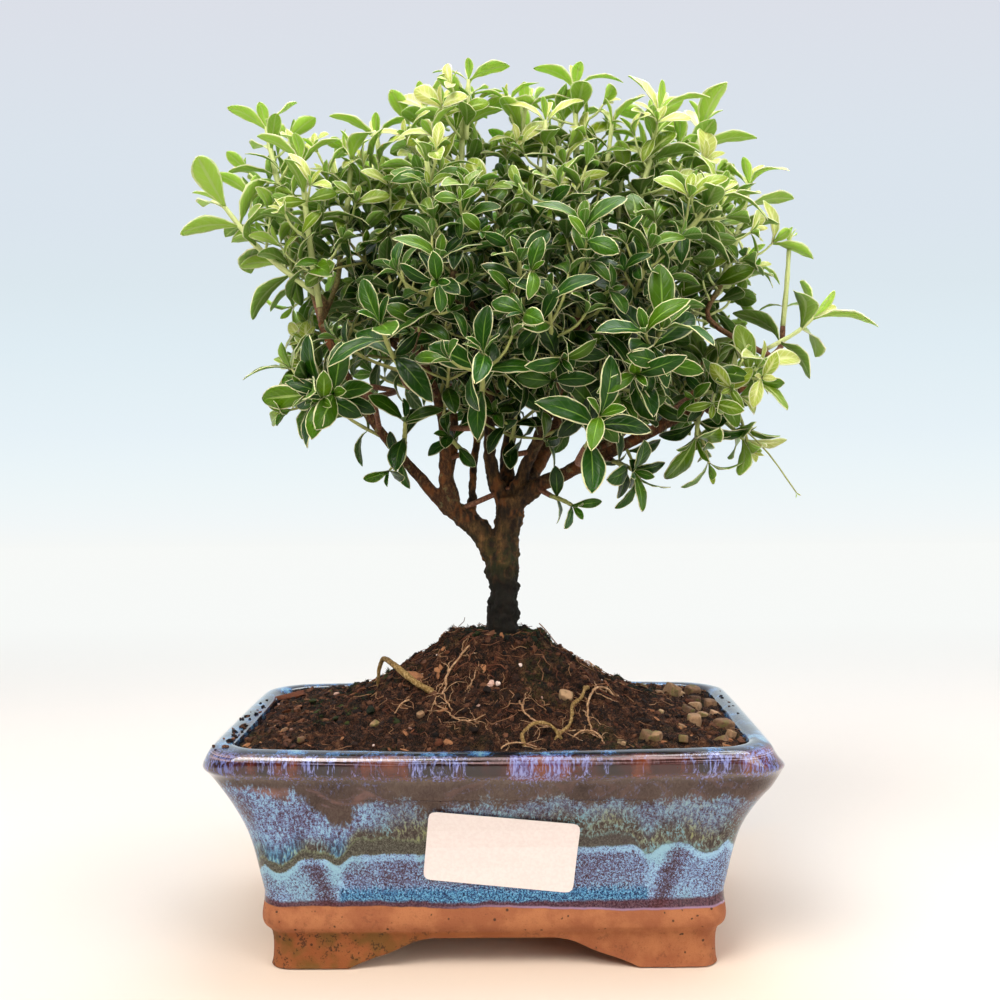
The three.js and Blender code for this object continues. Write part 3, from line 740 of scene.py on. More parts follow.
def panelled(piece):
    """Sinks a panel into each side of the wall."""
    sides = [(0, 1, PANEL_HALF), (1, 0, PANEL_HALF - DEPTH_LESS)]
    for along, across, reach in sides:
        for sign in (-1, 1):
            cut = Vector((0, 0, 0))
            cut[along] = sign * reach * MM
            way = Vector((0, 0, 0))
            way[along] = 1

            def is_side(face):
                centre = face.calc_center_median()
                outside = face.normal[across] * centre[across] > 0
                return outside and abs(face.normal[across]) > 0.8 and is_between(centre.z, WALL_Z)

            pick(piece, "faces", is_side)
            bpy.ops.mesh.bisect(plane_co=cut, plane_no=way)
    for along, across, reach in sides:
        for sign in (-1, 1):

            def is_panel(face):
                centre = face.calc_center_median()
                return (
                    face.normal[across] * sign > 0.8
                    and centre[across] * sign > 0
                    and abs(centre[along]) < reach * MM
                    and is_between(centre.z, PANEL_Z)
                )

            pick(piece, "faces", is_panel)
            bpy.ops.mesh.inset(thickness=PANEL_FRAME * MM, depth=-PANEL_SUNK * MM)


def cutter(name, outline, reach, turned=False):
    """A prism along Y, or along X, over an outline of x and z."""
    deselect()
    bpy.ops.mesh.primitive_circle_add(vertices=len(outline), radius=1, fill_type="NGON")
    piece = named(name)
    with editing(piece):
        mesh = bmesh.from_edit_mesh(piece.data)
        mesh.verts.ensure_lookup_table()
        for vertex, (across, z) in zip(mesh.verts, outline):
            place = (reach, across, z) if turned else (across, reach, z)
            vertex.co = Vector(place) * MM
        select_whole()
        way = (-2 * reach * MM, 0, 0) if turned else (0, -2 * reach * MM, 0)
        bpy.ops.mesh.extrude_region_move(TRANSFORM_OT_translate={"value": way})
    close_up(piece)
    return piece


def arch_outline(scale):
    """The cloud-cut arch between two feet, scalloped, from right to left."""
    points = [Vector((half, z, 0)) for half, z in ARCH]
    steps = 14
    right = [curve_point(points, i / steps) for i in range(steps + 1)]
    right = [(p.x * scale, min(p.y, POT_FLOOR)) for p in right]
    return right + [(-x, z) for x, z in reversed(right)]


def glazed_pot():
    rows = [(z, half, corner_at(z)) for z, half in POT_WALL]
    rows += [(z, half, corner_at(z) - 0.6 * i) for i, (z, half) in enumerate(LIP_TOP, 1)]
    inside = [(z, half) for z, half in reversed(POT_INSIDE) if z < POT_HEIGHT - 1]
    rows += [(z, half, corner_at(z) - INNER_CORNER_LESS) for z, half in inside]
    piece = rounded_block("glazed_pot", rows, 5)
    with editing(piece, "FACE"):
        panelled(piece)
    modify(piece, "SUBSURF", levels=2, render_levels=2)
    skirt = value_at(POT_WALL, 6) - SKIRT
    cutters = [
        rounded_block("hollow", [(-1, skirt, 5), (POT_FLOOR, skirt, 5)], 4),
        cutter("long_arch", arch_outline(1), 100),
        cutter("short_arch", arch_outline(0.5), 100, True),
    ]
    for side in (-1, 1):
        place = (side * DRAIN_SPACING / 2 * MM, 0, 0.016)
        deselect()
        bpy.ops.mesh.primitive_cylinder_add(
            vertices=32, radius=DRAIN_RADIUS * MM, depth=0.02, location=place,
        )
        cutters.append(named("drain"))
    for tool in cutters:
        modify(piece, "BOOLEAN", object=tool, operation="DIFFERENCE", solver="EXACT")
        bpy.data.objects.remove(tool)
    modify(
        piece, "BEVEL", width=0.0006, segments=2, limit_method="ANGLE",
        angle_limit=radians(50),
    )
    alone(piece)
    bpy.ops.object.shade_smooth_by_angle(angle=radians(40))
    return settle(piece, glaze(), ["pot"])


def foot_clay(f, x, z):
    """Bare terracotta, with algae and grime at the left foot."""
    foot = 1 - z.step(11.5, 13.5)
    algae = foot * f.noise(0.09, 3, 0.6).step(0.4, 0.58) * (1 - x.step(-40, -10))
    grime = f.noise(0.35, 3, 0.7) + (f.noise(1.6, 2) - 0.5) * 0.5
    grimy = (0.2 + foot * 0.55) * (1 - x.step(-50, 30) * 0.7)
    dirt = (1 - f.cells(0.35).step(0.12, 0.2)) * f.noise(0.25).step(0.5, 0.56)
    return f.coat(
        f.mix(f.noise(0.12, 4, 0.6).step(0.35, 0.65), "965a3a", "ae7049"),
        (f.noise(2.2, 3, 0.7).step(0.5, 0.75) * 0.45, "84452a"),
        (foot * (1 - x.step(-20, 40) * 0.8) * 0.65, "7f4416"),
        (algae * 0.6, "544818"),
        (grime.step(0.58, 0.66) * grimy, "2b1d14"),
        (dirt * 0.85, "2b1d14"),
    )


def thin_brown(f, x, z, left, drift, curl, fur, grain):
    """Smooth brown glaze with hairs of blue and paler clouds."""
    brown = f.ramp(
        drift * 0.5 + (curl - 0.5) * 0.5 + 0.25,
        (0.35, "33241f"), (0.5, "4a3a34"), (0.68, "5f5046"),
    )
    cloud = f.noise(0.08, 3, 0.5, (1, 1, 1.6), 1)
    rings = abs(cloud - 0.56).step(0.006, 0.016)
    hairs = (fur + (grain - 0.5) * 0.4).step(0.54, 0.68)
    falls = (f.noise(0.06, 2, 0.5, (1, 1, 0.25)) + (70 - z).least(12) * -0.016).step(0.42, 0.54)
    lens = x.between(-82, -67, 3) * z.between(58.6, 61.6, 1.2) * drift.step(0.2, 0.5)
    return f.coat(
        brown,
        (cloud.step(0.5, 0.68) * (0.3 + left * 0.5), "7b5c58"),
        ((1 - rings) * curl.step(0.45, 0.65) * 0.35, "66709c"),
        (hairs * falls * 0.7, "6a76ae"),
        (lens * 0.7, "94695e"),
    )


def lip_glaze(f, corner, z, ripple, fur, grain, patch):
    """Dark red-brown, amber where it is thin, with falls of violet and blue, and painted highlight
    lines along the top rounding.
    """
    amber = f.noise(0.09, 3, 0.55, (1, 1, 0.3))
    lip = f.ramp(amber + (grain - 0.5) * 0.12, (0.4, "180606"), (0.52, "3c110b"), (0.64, "6c3114"))
    violet = f.mix(fur.step(0.38, 0.62), "34367c", "8e96d2")
    hem = (1 - (z + ripple * 2).step(65.8, 67)) * fur.step(0.5, 0.62)
    # A painted highlight: thin pale streaks along the lip's outer top rounding.
    highlight_lines = f.noise(1.2, 3, 0.6, (0.02, 0.02, 2.2)) + (fur - 0.5) * 0.25
    painted_highlight = z.between(70.4, 72.4, 0.8) * highlight_lines.step(0.42, 0.6)
    return f.coat(
        lip,
        (patch.step(0.51, 0.72) * 0.85, violet),
        (corner.step(46, 54) * fur.step(0.42, 0.6) * 0.65, "6c78b8"),
        (hem * 0.5, "6a74b4"),
        (painted_highlight * 0.75, f.mix(patch.step(0.45, 0.6), "a58c8e", "98a0cc")),
    )


def glaze():
    """Red-brown glaze that breaks into blue, turquoise and green, over a terracotta foot."""
    f = Finish("pooled_glaze")
    x, y, z = f.split(f.place())
    corner = (abs(x) - DEPTH_LESS).least(abs(y))  # from under 0 to about 57 at a corner
    sway = f.noise(0.04, 2, 0.5, (1, 1, 0.3)) - 0.5
    ripple = f.noise(0.15, 3, 0.55, (1, 1, 0.4)) - 0.5
    drift = f.noise(0.06, 2, 0.5, (1, 1, 0.8), 0.6)
    fur = f.noise(1.3, 3, 0.6, (1, 1, 0.2), 0.5)
    curl = f.noise(0.9, 3, 0.6, (1, 1, 0.5), 1.4)
    grain = f.noise(1.5, 3, 0.65)
    speck = f.noise(3.0, 2, 0.6)
    fine = (grain - 0.5) * 1.5 + (speck - 0.5) * 0.8
    stroke = (curl - 0.5) * 1.6 + (fur - 0.5) * 0.8

    edge = 21.6 + sway * 2.4 + ripple * 1.2 - x.step(-60, 60) * 1.7
    over = z - edge
    glazed = over.step(-0.2, 0.2)

    # Where the thick glaze lies: channels beside the slanting ridge, and its own wavy lower line.
    slant = corner - (z - 23) * 0.35
    ridge = slant.between(21.6, 26.4, 2.6)
    channel = slant.between(16.6, 20.6, 2)
    pane = slant.between(28.5, 40, 3)
    dip = corner.between(18.5, 22.5, 3) * 3.6 + corner.between(35, 44, 4) * 4.2
    rise = z - (39.6 + x * 0.038 - dip + sway * 3 + ripple * 2.2) + (curl - 0.5) * 1.6
    flat = 1 - corner.step(14, 19)
    over_band = rise - (2.2 + flat * 3 - x * 0.02 + sway * 3 + ripple * 3)

    # Light flecks over a mauve-brown body, denser where the glaze lies thick.
    thick = channel * 0.22 + pane * 0.08 - ridge * 0.2 + (drift - 0.5) * 0.4 + x.step(30, 70) * 0.07
    thick = thick + rise.between(-2.2, 0, 0.8) * 0.26
    heap = 0.55 + thick + fine
    low = f.ramp(
        heap,
        (0.2, "2d1d26"), (0.42, "4c3844"), (0.55, "5f6286"), (0.7, "7697c2"), (0.95, "96bfd8"),
    )
    pool = f.ramp(
        0.52 + fine, (0.25, "081836"), (0.45, "1f4270"), (0.6, "4484b0"), (0.85, "74b4d0"),
    )
    shore = z + (curl - 0.5) * 7 + (grain - 0.5) * 4
    pooled = (1 - corner.step(19.5, 21)) * (1 - shore.step(25.6, 28.4))
    milky = drift.step(0.48, 0.6) * heap.step(0.5, 0.7) * 0.35
    low = f.coat(low, (milky, "7aaab0"), (pooled, pool))

    # The olive band over that line, with a pale seam along both of its edges.
    olive = f.ramp(0.5 + fine * 0.8, (0.25, "231f18"), (0.5, "46433a"), (0.8, "6b6c5e"))
    seam = f.mix(x.step(-20, 30), "7f8c66", "7da4a2")
    edges = rise.between(-0.5, 0.25, 0.4) * 0.5 + over_band.between(-0.6, 0.6, 0.7) * 0.7
    olive = f.coat(
        olive, (x.step(-10, 60) * 0.6, "453b3e"), (edges * curl.step(0.38, 0.58), seam),
    )

    # Fur: strokes of turquoise and yellow green that run down to the olive band.
    green = f.mix(f.noise(0.11, 2).step(0.42, 0.6), "6f9fae", "858a5e")
    hairy = 0.49 + stroke + (drift - 0.5) * 0.5
    fringe = f.ramp(hairy, (0.25, "2b2422"), (0.48, "4d423c"), (0.62, "62665a"))
    low_part = (1 - over_band.step(2, 12)) * 0.6
    soft = f.ramp(
        0.6 + fine * 0.8 + (fur - 0.5) * 1.4 + (drift - 0.5) * 0.6,
        (0.2, "31202e"), (0.42, "54435a"), (0.58, "6b78a4"), (0.75, "7fa6cf"), (0.95, "98c3d8"),
    )
    left = (sway * 46 - x).step(24, 44)
    furred = (fur - 0.5) * 2 + 0.5 + (sway + ripple) * 0.7
    run = f.ramp(furred, (0.3, "1d3650"), (0.5, "3f7ba6"), (0.65, "78acb4"), (0.85, "a0a878"))
    streaks = left * (corner.between(18.5, 23, 3) + corner.between(33, 45, 4))
    mid = f.coat(
        fringe,
        (hairy.step(0.54, 0.8), green),
        (0.55 - low_part, soft),
        (left * over_band.step(1, 6), soft),
        (streaks * (1 - rise.step(5, 13)) * 0.85, run),
    )

    # Smooth brown under the lip.
    tongue = x.between(-54, -41, 6) * 8 - (-x).step(58, 72) * 4
    top = 56 - tongue + ripple * 13 + sway * 22 + (fur - 0.5) * 8 + left * 2.5
    brown = thin_brown(f, x, z, left, drift, curl, fur, grain)
    shade = f.mix((z - top).step(-1.5, 2), mid, brown)
    shade = f.mix(rise.step(-0.3, 0.3), low, f.mix(over_band.step(-0.6, 0.6), olive, shade))
    arris = corner.step(45.5, 49) * (1 - z.step(50, 62)) * (1 - heap.step(0.5, 0.8) * 0.4)

    # A dark maroon rim along the foot, and lilac where it is thinnest.
    maroon = f.mix(grain.step(0.4, 0.65), "340a12", "5c2226")
    wide = 1.6 + x.step(-10, 60) * 1.9 + ripple * 1.4
    shade = f.coat(
        shade,
        (arris * 0.8, "553632"),
        ((1 - (over - wide).step(-0.5, 0.7)) * 0.92, maroon),
        ((1 - over.step(0.3, 0.9)) * x.step(-30, 20) * 0.75, "a585a4"),
    )

    # The lip, and the blue inside it.
    patch = f.noise(0.09, 3, 0.6, (1, 1, 0.15)) + (fur - 0.5) * 0.7
    mottle = 0.46 + (f.noise(0.12, 3, 0.6) - 0.5) * 2 + (grain - 0.5)
    rimmed = f.ramp(mottle, (0.3, "10161c"), (0.5, "1e3040"), (0.66, "3a6ca4"), (0.9, "6f9fae"))
    rimmed = f.mix(corner.step(49, 54) * 0.6 * grain.step(0.4, 0.6), rimmed, "7794c4")
    lip = lip_glaze(f, corner, z, ripple, fur, grain, patch)
    hollow = (abs(x) - 84.3).most(abs(y) + x * x * (BOW / 91.6**2) - 55.3)
    shade = f.coat(
        shade,
        ((z + ripple * 1.6 + (patch - 0.5) * 4).step(64.6, 65.6), lip),
        ((1 - hollow.step(-0.4, 0.6)) * z.step(60, 62), rimmed),
        (z.step(72.4, 73.3), rimmed),
    )

    pits = f.cells(0.8).step(0.05, 0.16)
    skin = f.noise(0.5, 3) * 0.5 + grain * 0.12 + pits * 0.15
    rough_clay = f.noise(1.8, 4, 0.7)
    bumped = f.bump(glazed * skin + (1 - glazed) * rough_clay * 0.6 + glazed * 0.5, 0.00022, 0.7)
    rough = 0.78 - glazed * (0.66 - grain * 0.06)
    return f.set(
        Base_Color=f.mix(glazed, foot_clay(f, x, z), shade), Roughness=rough, Normal=bumped,
        Specular_IOR_Level=0.3, Coat_Weight=glazed * (0.15 + z.step(62, 66) * 0.85),
        Coat_Roughness=0.04,
    )


# The soil and what lies on it.

def mound_reach(share, angle, to_wall):
    half = value_at(POT_INSIDE, 69)
    ellipse = 1 / hypot(cos(angle) / half, sin(angle) / (half - DEPTH_LESS))
    return lerp(MOUND_CORE, lerp(ellipse, to_wall, share**3), share)


def mound_height(x, y):
    half = value_at(POT_INSIDE, 69)
    angle = atan2(y, x)
    to_wall = min(
        half / max(abs(cos(angle)), 1e-9),
        (half - DEPTH_LESS) / max(abs(sin(angle)), 1e-9),
    )
    slope = [(mound_reach(share, angle, to_wall), z) for share, z in MOUND]
    away = hypot(x, y)
    if away <= slope[0][0]:
        return slope[0][1]
    return value_at(slope, min(away, slope[-1][0]))


SOIL_HALF = (82.0, 53.0)
SOIL_CORNER = 10


def in_soil(x, y, inset=0):
    """The nearest place inside the wall of the pot."""
    wide, deep = (half - inset for half in SOIL_HALF)
    x, y = (max(min(v, half), -half) for v, half in ((x, wide), (y, deep)))
    over_x, over_y = abs(x) - (wide - SOIL_CORNER), abs(y) - (deep - SOIL_CORNER)
    if over_x > 0 and over_y > 0:
        pull = min(SOIL_CORNER / hypot(over_x, over_y), 1)
        x = copysign(wide - SOIL_CORNER + over_x * pull, x)
        y = copysign(deep - SOIL_CORNER + over_y * pull, y)
    return x, y * (1 - bow_at(x / SOIL_HALF[0], 69) / SOIL_HALF[1])


def heaped_soil():
    deselect()
    bpy.ops.mesh.primitive_grid_add(x_subdivisions=200, y_subdivisions=132, size=2)
    piece = named("heaped_soil")
    for vertex in piece.data.vertices:
        x, y = in_soil(vertex.co.x * SOIL_HALF[0], vertex.co.y * SOIL_HALF[1])
        vertex.co = Vector((x, y, mound_height(x, y))) * MM
    weather(piece, "CLOUDS", 6, 4.2, noise_depth=2)
    weather(piece, "CLOUDS", 2.4, 3.2, noise_depth=2)
    weather(piece, "CLOUDS", 1.1, 1.6, noise_depth=1)
    with editing(piece, "EDGE"):
        pick(piece, "edges", lambda edge: edge.is_boundary)
        bpy.ops.mesh.extrude_region_move(TRANSFORM_OT_translate={"value": (0, 0, -0.052)})
        bpy.ops.transform.resize(value=(0.83, 0.74, 0))
        bpy.ops.mesh.edge_face_add()
    close_up(piece)
    smooth(piece)
    corners = [vertex.co.copy() for vertex in piece.data.vertices]
    surface = BVHTree.FromPolygons(corners, [face.vertices[:] for face in piece.data.polygons])
    settle(piece, peat(), ["soil"])
    return surface


def top_of(surface, x, y):
    """The height of the finished soil at a place, or that of the rim beside it."""
    place = surface.ray_cast(Vector((x, y, 200)) * MM, Vector((0, 0, -1)))[0]
    return place.z / MM if place and place.z > 0.066 else POT_HEIGHT


def peat():
    f = Finish("moist_peat")
    clod = f.noise(0.35, 5, 0.65)
    fine = f.noise(1.6, 5, 0.75)
    shade = f.ramp(
        clod * 0.55 + fine * 0.45,
        (0.43, "050302"), (0.48, "1b0f09"), (0.53, "402417"), (0.58, "6a432d"), (0.66, "9c7454"),
    )
    fibre = f.noise(0.8, 3, 0.6, (1, 0.25, 1), 1.5)
    green = f.noise(0.06, 3, 0.6).step(0.52, 0.66) * fine.step(0.42, 0.6)
    shade = f.coat(
        shade,
        ((1 - abs(fibre - 0.5).step(0.004, 0.02)) * 0.55, "7d5638"),
        (green * 0.45, "3b4a1c"),
    )
    bumped = f.bump(clod * 0.8 + fine, 0.0016)
    return f.set(Base_Color=shade, Roughness=0.92, Normal=bumped, IOR=1.35)


def crumb_finish(name, dark, mid, light, rough=0.95, scale=1.0):
    """A rough grain whose tone differs from piece to piece."""
    f = Finish(name)
    tone = f.attribute("tone")
    fine = f.noise(1.4 * scale, 4, 0.7)
    shade = f.ramp(tone * 0.6 + fine * 0.4, (0.2, dark), (0.5, mid), (0.85, light))
    return f.set(Base_Color=shade, Roughness=rough, Normal=f.bump(fine, 0.0004, 0.9), IOR=1.4)


def lump(name, subdivisions, size, roughness, squash=(1, 1, 1)):
    """A template grain, about one millimetre across at size 1."""
    deselect()
    bpy.ops.mesh.primitive_ico_sphere_add(subdivisions=subdivisions, radius=size * MM)
    piece = named(name)
    bpy.ops.transform.resize(value=squash)
    apply_transform()
    weather(piece, "CLOUDS", size * 1.1, size * roughness, noise_depth=1)
    return piece


def shard(name, size, bevel):
    """A template pebble: a block with its corners cut and rounded."""
    deselect()
    bpy.ops.mesh.primitive_cube_add(size=2 * size * MM)
    piece = named(name)
    with editing(piece):
        select_whole()
        bpy.ops.transform.vertex_random(offset=size * 0.45 * MM, seed=len(name))
        bpy.ops.mesh.bevel(offset=size * bevel * MM, segments=2, affect="EDGES")
    modify(piece, "SUBSURF", levels=1, render_levels=1)
    weather(piece, "CLOUDS", size * 0.7, size * 0.35, noise_depth=2)
    smooth(piece)
    return piece


def blades(name, count, length, spread, draw):
    """A template tuft of thin pointed blades."""
    parts = []
    for _ in range(count):
        deselect()
        bpy.ops.mesh.primitive_cone_add(
            vertices=3, radius1=0.13 * MM, radius2=0, depth=length * MM,
            location=(0, 0, length * MM / 2),
        )
        part = named("blade")
        lean = Matrix.Rotation((0.2 + draw() * 0.8) * spread, 4, "X")
        turn = Matrix.Rotation(draw() * TURN, 4, "Z")
        shift = Matrix.Translation(Vector((draw() - 0.5, draw() - 0.5, -0.2)) * 0.9 * MM)
        size = Matrix.Scale(0.6 + 0.6 * draw(), 4)
        part.matrix_world = shift @ turn @ lean @ size @ part.matrix_world
        parts.append(part)
    tuft = join(parts, name)
    apply_transform()
    return tuft


def strand(name, draw, thickness):
    """A template fibre: a thin bent tube about ten millimetres long."""
    points = [Vector((-5 + 2.5 * i, (draw() - 0.5) * 3.4, (draw() - 0.35) * 1.2)) for i in range(5)]
    steps = 5
    run = []
    for i in range(steps + 1):
        run.append((curve_point(points, i / steps), thickness * (1 - 0.5 * i / steps)))
    piece = tubes(name, [run], 4)
    close_up(piece, False)
    return piece


def lay(surface, x, y, lift, scale, draw, flat=0.5):
    """A place on the soil, turned at random and tipped with the slope."""
    if abs(x) < SOIL_HALF[0] + 1:
        x, y = in_soil(x, y, 1)
    z = top_of(surface, x, y) + lift
    tip = Matrix.Rotation((draw() - 0.5) * flat * pi, 4, "X")
    turn = Matrix.Rotation(draw() * TURN, 4, "Z")
    slope_x = atan2(mound_height(x, y + 1) - mound_height(x, y - 1), 2)
    slope_y = -atan2(mound_height(x + 1, y) - mound_height(x - 1, y), 2)
    slope = Matrix.Rotation(slope_x, 4, "X") @ Matrix.Rotation(slope_y, 4, "Y")
    size = Matrix.Diagonal((*scale, 1))
    return Matrix.Translation(Vector((x, y, z)) * MM) @ slope @ turn @ tip @ size


def scatter(surface, name, templates, spots, finish, draw, flat=0.5):
    """Copies of templates on the soil. A spot is x, y, lift and scale."""
    copies = []
    for index, (x, y, lift, scale) in enumerate(spots):
        if isinstance(scale, (int, float)):
            scale = [scale * (0.75 + 0.5 * draw()) for _ in range(3)]
        matrix = lay(surface, x, y, lift, scale, draw, flat)
        copies.append(copy_of(templates[index % len(templates)], matrix, tone=draw()))
    piece = join(copies, name)
    apply_transform()
    for template in templates:
        bpy.data.objects.remove(template)
    return settle(piece, finish)


PEBBLES = [  # x, y, size
    (77.5, -26, 5.6), (74, -45, 3.8), (68, -22.5, 4.8), (67, -12, 4), (79, 15, 4.4), (66, 23, 5.2),
    (76, 40, 4.6), (70, 33, 3.8), (50, -44, 4.4), (52.5, -46, 3.2), (24, -26.5, 4), (73, -9, 3.6),
    (72, 4, 4.2), (78, -2, 3.4), (61, -47, 2.6), (41, -47.5, 2.4), (78, -38, 2.8), (60, 12, 3.2),
    (55, 30, 3.4), (48, 38, 3), (74, 22, 4), (-39, -36, 2.6), (-24, -35, 2), (-70, -30, 1.8),
    (-62, -45, 2), (-10, 44, 2.4), (30, 42, 2.6), (-40, 40, 2.2), (62, -34, 1.8), (57, -20, 2),
]
PERLITE = [  # x, y, size
    (-1, -26, 2.2), (1.4, -26.5, 1.8), (9, -22, 1.1), (-27, -41, 1.1), (-5, -33, 1),
    (-58, 10, 1.4), (40, 20, 1.4), (10, 36, 1.5), (-20, 34, 1.3), (22, 26, 1.2),
]
ROOTLETS = [  # fine roots over the mound: x, y, lift over the soil, radius
    [(-8.6, -16, 0.2, 0.5), (-11, -17.2, 0.8, 0.5), (-15.9, -21.5, 0.5, 0.45),
     (-16.1, -24.5, 0.6, 0.45), (-17.3, -26.8, 0.2, 0.35), (-19.2, -28.8, 0.3, 0.3),
     (-20, -31, -0.6, 0.25)],
    [(-17.3, -26.8, 0.4, 0.35), (-15.4, -31.2, 0.5, 0.3), (-13.6, -33.8, -0.4, 0.22)],
    [(43.3, -16.5, -1, 0.5), (38.2, -17, 1.4, 0.5), (34.5, -20, 1.6, 0.5), (32, -26.8, 1.2, 0.5),
     (30.9, -34.2, 0.6, 0.45), (32.2, -39, -0.8, 0.4)],
    [(25.4, -45, 0, 0.35), (28.1, -42.8, 0.9, 0.4), (32, -42, 0.8, 0.4), (34.4, -44.8, 0.5, 0.35),
     (35.8, -47.5, -0.6, 0.3)],
    [(8.2, -32, -0.4, 0.4), (9.5, -35.2, 0.7, 0.4), (13, -39, 0.8, 0.4), (17.8, -40.8, 0.7, 0.4),
     (22.3, -42.5, 0.6, 0.35), (29.9, -39.8, -0.4, 0.3)],
    [(-20.5, -29.2, -0.3, 0.3), (-16.3, -33.5, 0.5, 0.3), (-13.4, -37.2, 0.7, 0.3),
     (-10.1, -39.2, 0.7, 0.3), (-5.9, -39, 0.6, 0.28), (-2.7, -35.8, -0.4, 0.24)],
    [(-27.4, -26.2, 0.4, 0.35), (-30.7, -27.2, 0.5, 0.3), (-33.4, -30.8, -0.4, 0.24)],
    [(-6, -23.5, 0.3, 0.28), (-7.3, -26.2, 0.5, 0.24), (-9.2, -27.2, -0.4, 0.2)],
    [(2.4, -52.6, 1.0, 0.35), (4.9, -50.5, 1.3, 0.35), (9.3, -49.8, 1.2, 0.3),
     (13.5, -49.2, -0.4, 0.25)],
    [(14, 22, 0.3, 0.5), (22, 30, 0.9, 0.45), (34, 33, 0.6, 0.4), (40, 38, -0.6, 0.3)],
    [(-12, 18, 0.4, 0.6), (-20, 26, 1.0, 0.5), (-24, 36, 0.5, 0.4), (-34, 40, -0.6, 0.3)],
]


def pebble_finish():
    f = Finish("mossy_pebble")
    tone = f.attribute("tone")
    fine = f.noise(1.2, 5, 0.7)
    shade = f.ramp(
        tone * 0.55 + fine * 0.45,
        (0.2, "4f3626"), (0.45, "8c6a4c"), (0.7, "b3926e"), (0.9, "a06f58"),
    )
    mossy = f.noise(0.22, 3, 0.6).step(0.5, 0.62) * fine.step(0.35, 0.6)
    dusty = f.noise(0.4, 3).step(0.55, 0.7)
    shade = f.coat(shade, (mossy * 0.8, "5d6424"), (dusty * 0.5, "4b3626"))
    return f.set(Base_Color=shade, Roughness=0.85, Normal=f.bump(fine, 0.0005, 0.8))


def moss_finish():
    f = Finish("cushion_moss")
    furry = f.noise(1.4, 4, 0.7)
    shade = f.ramp(
        f.attribute("tone") * 0.6 + furry * 0.4,
        (0.2, "050905"), (0.55, "151f0d"), (0.85, "464f20"),
    )
    return f.set(Base_Color=shade, Roughness=0.8, Normal=f.bump(furry, 0.0006, 1.0), IOR=1.35)


def moss_places(draw):
    """Round the trunk's foot, then over the back of the mound, then at its left."""
    mossy = []
    for _ in range(90):
        angle, away = draw() * TURN, 6 + 11 * draw()
        mossy.append((2.6 + away * cos(angle), away * sin(angle)))
    for _ in range(170):
        angle, away = pi * draw(), 10 + 58 * draw()
        mossy.append((away * cos(angle), away * sin(angle) * 0.6 - 2))
    for _ in range(70):
        mossy.append((-48 + 34 * (draw() - 0.5), 70 * (draw() - 0.5)))
    return mossy


CRUMBS, FLAKES, SPECKS, FIBRES = 1500, 150, 24, 420  # all over the soil
MOUND_CRUMBS, MOUND_FIBRES = 700, 520


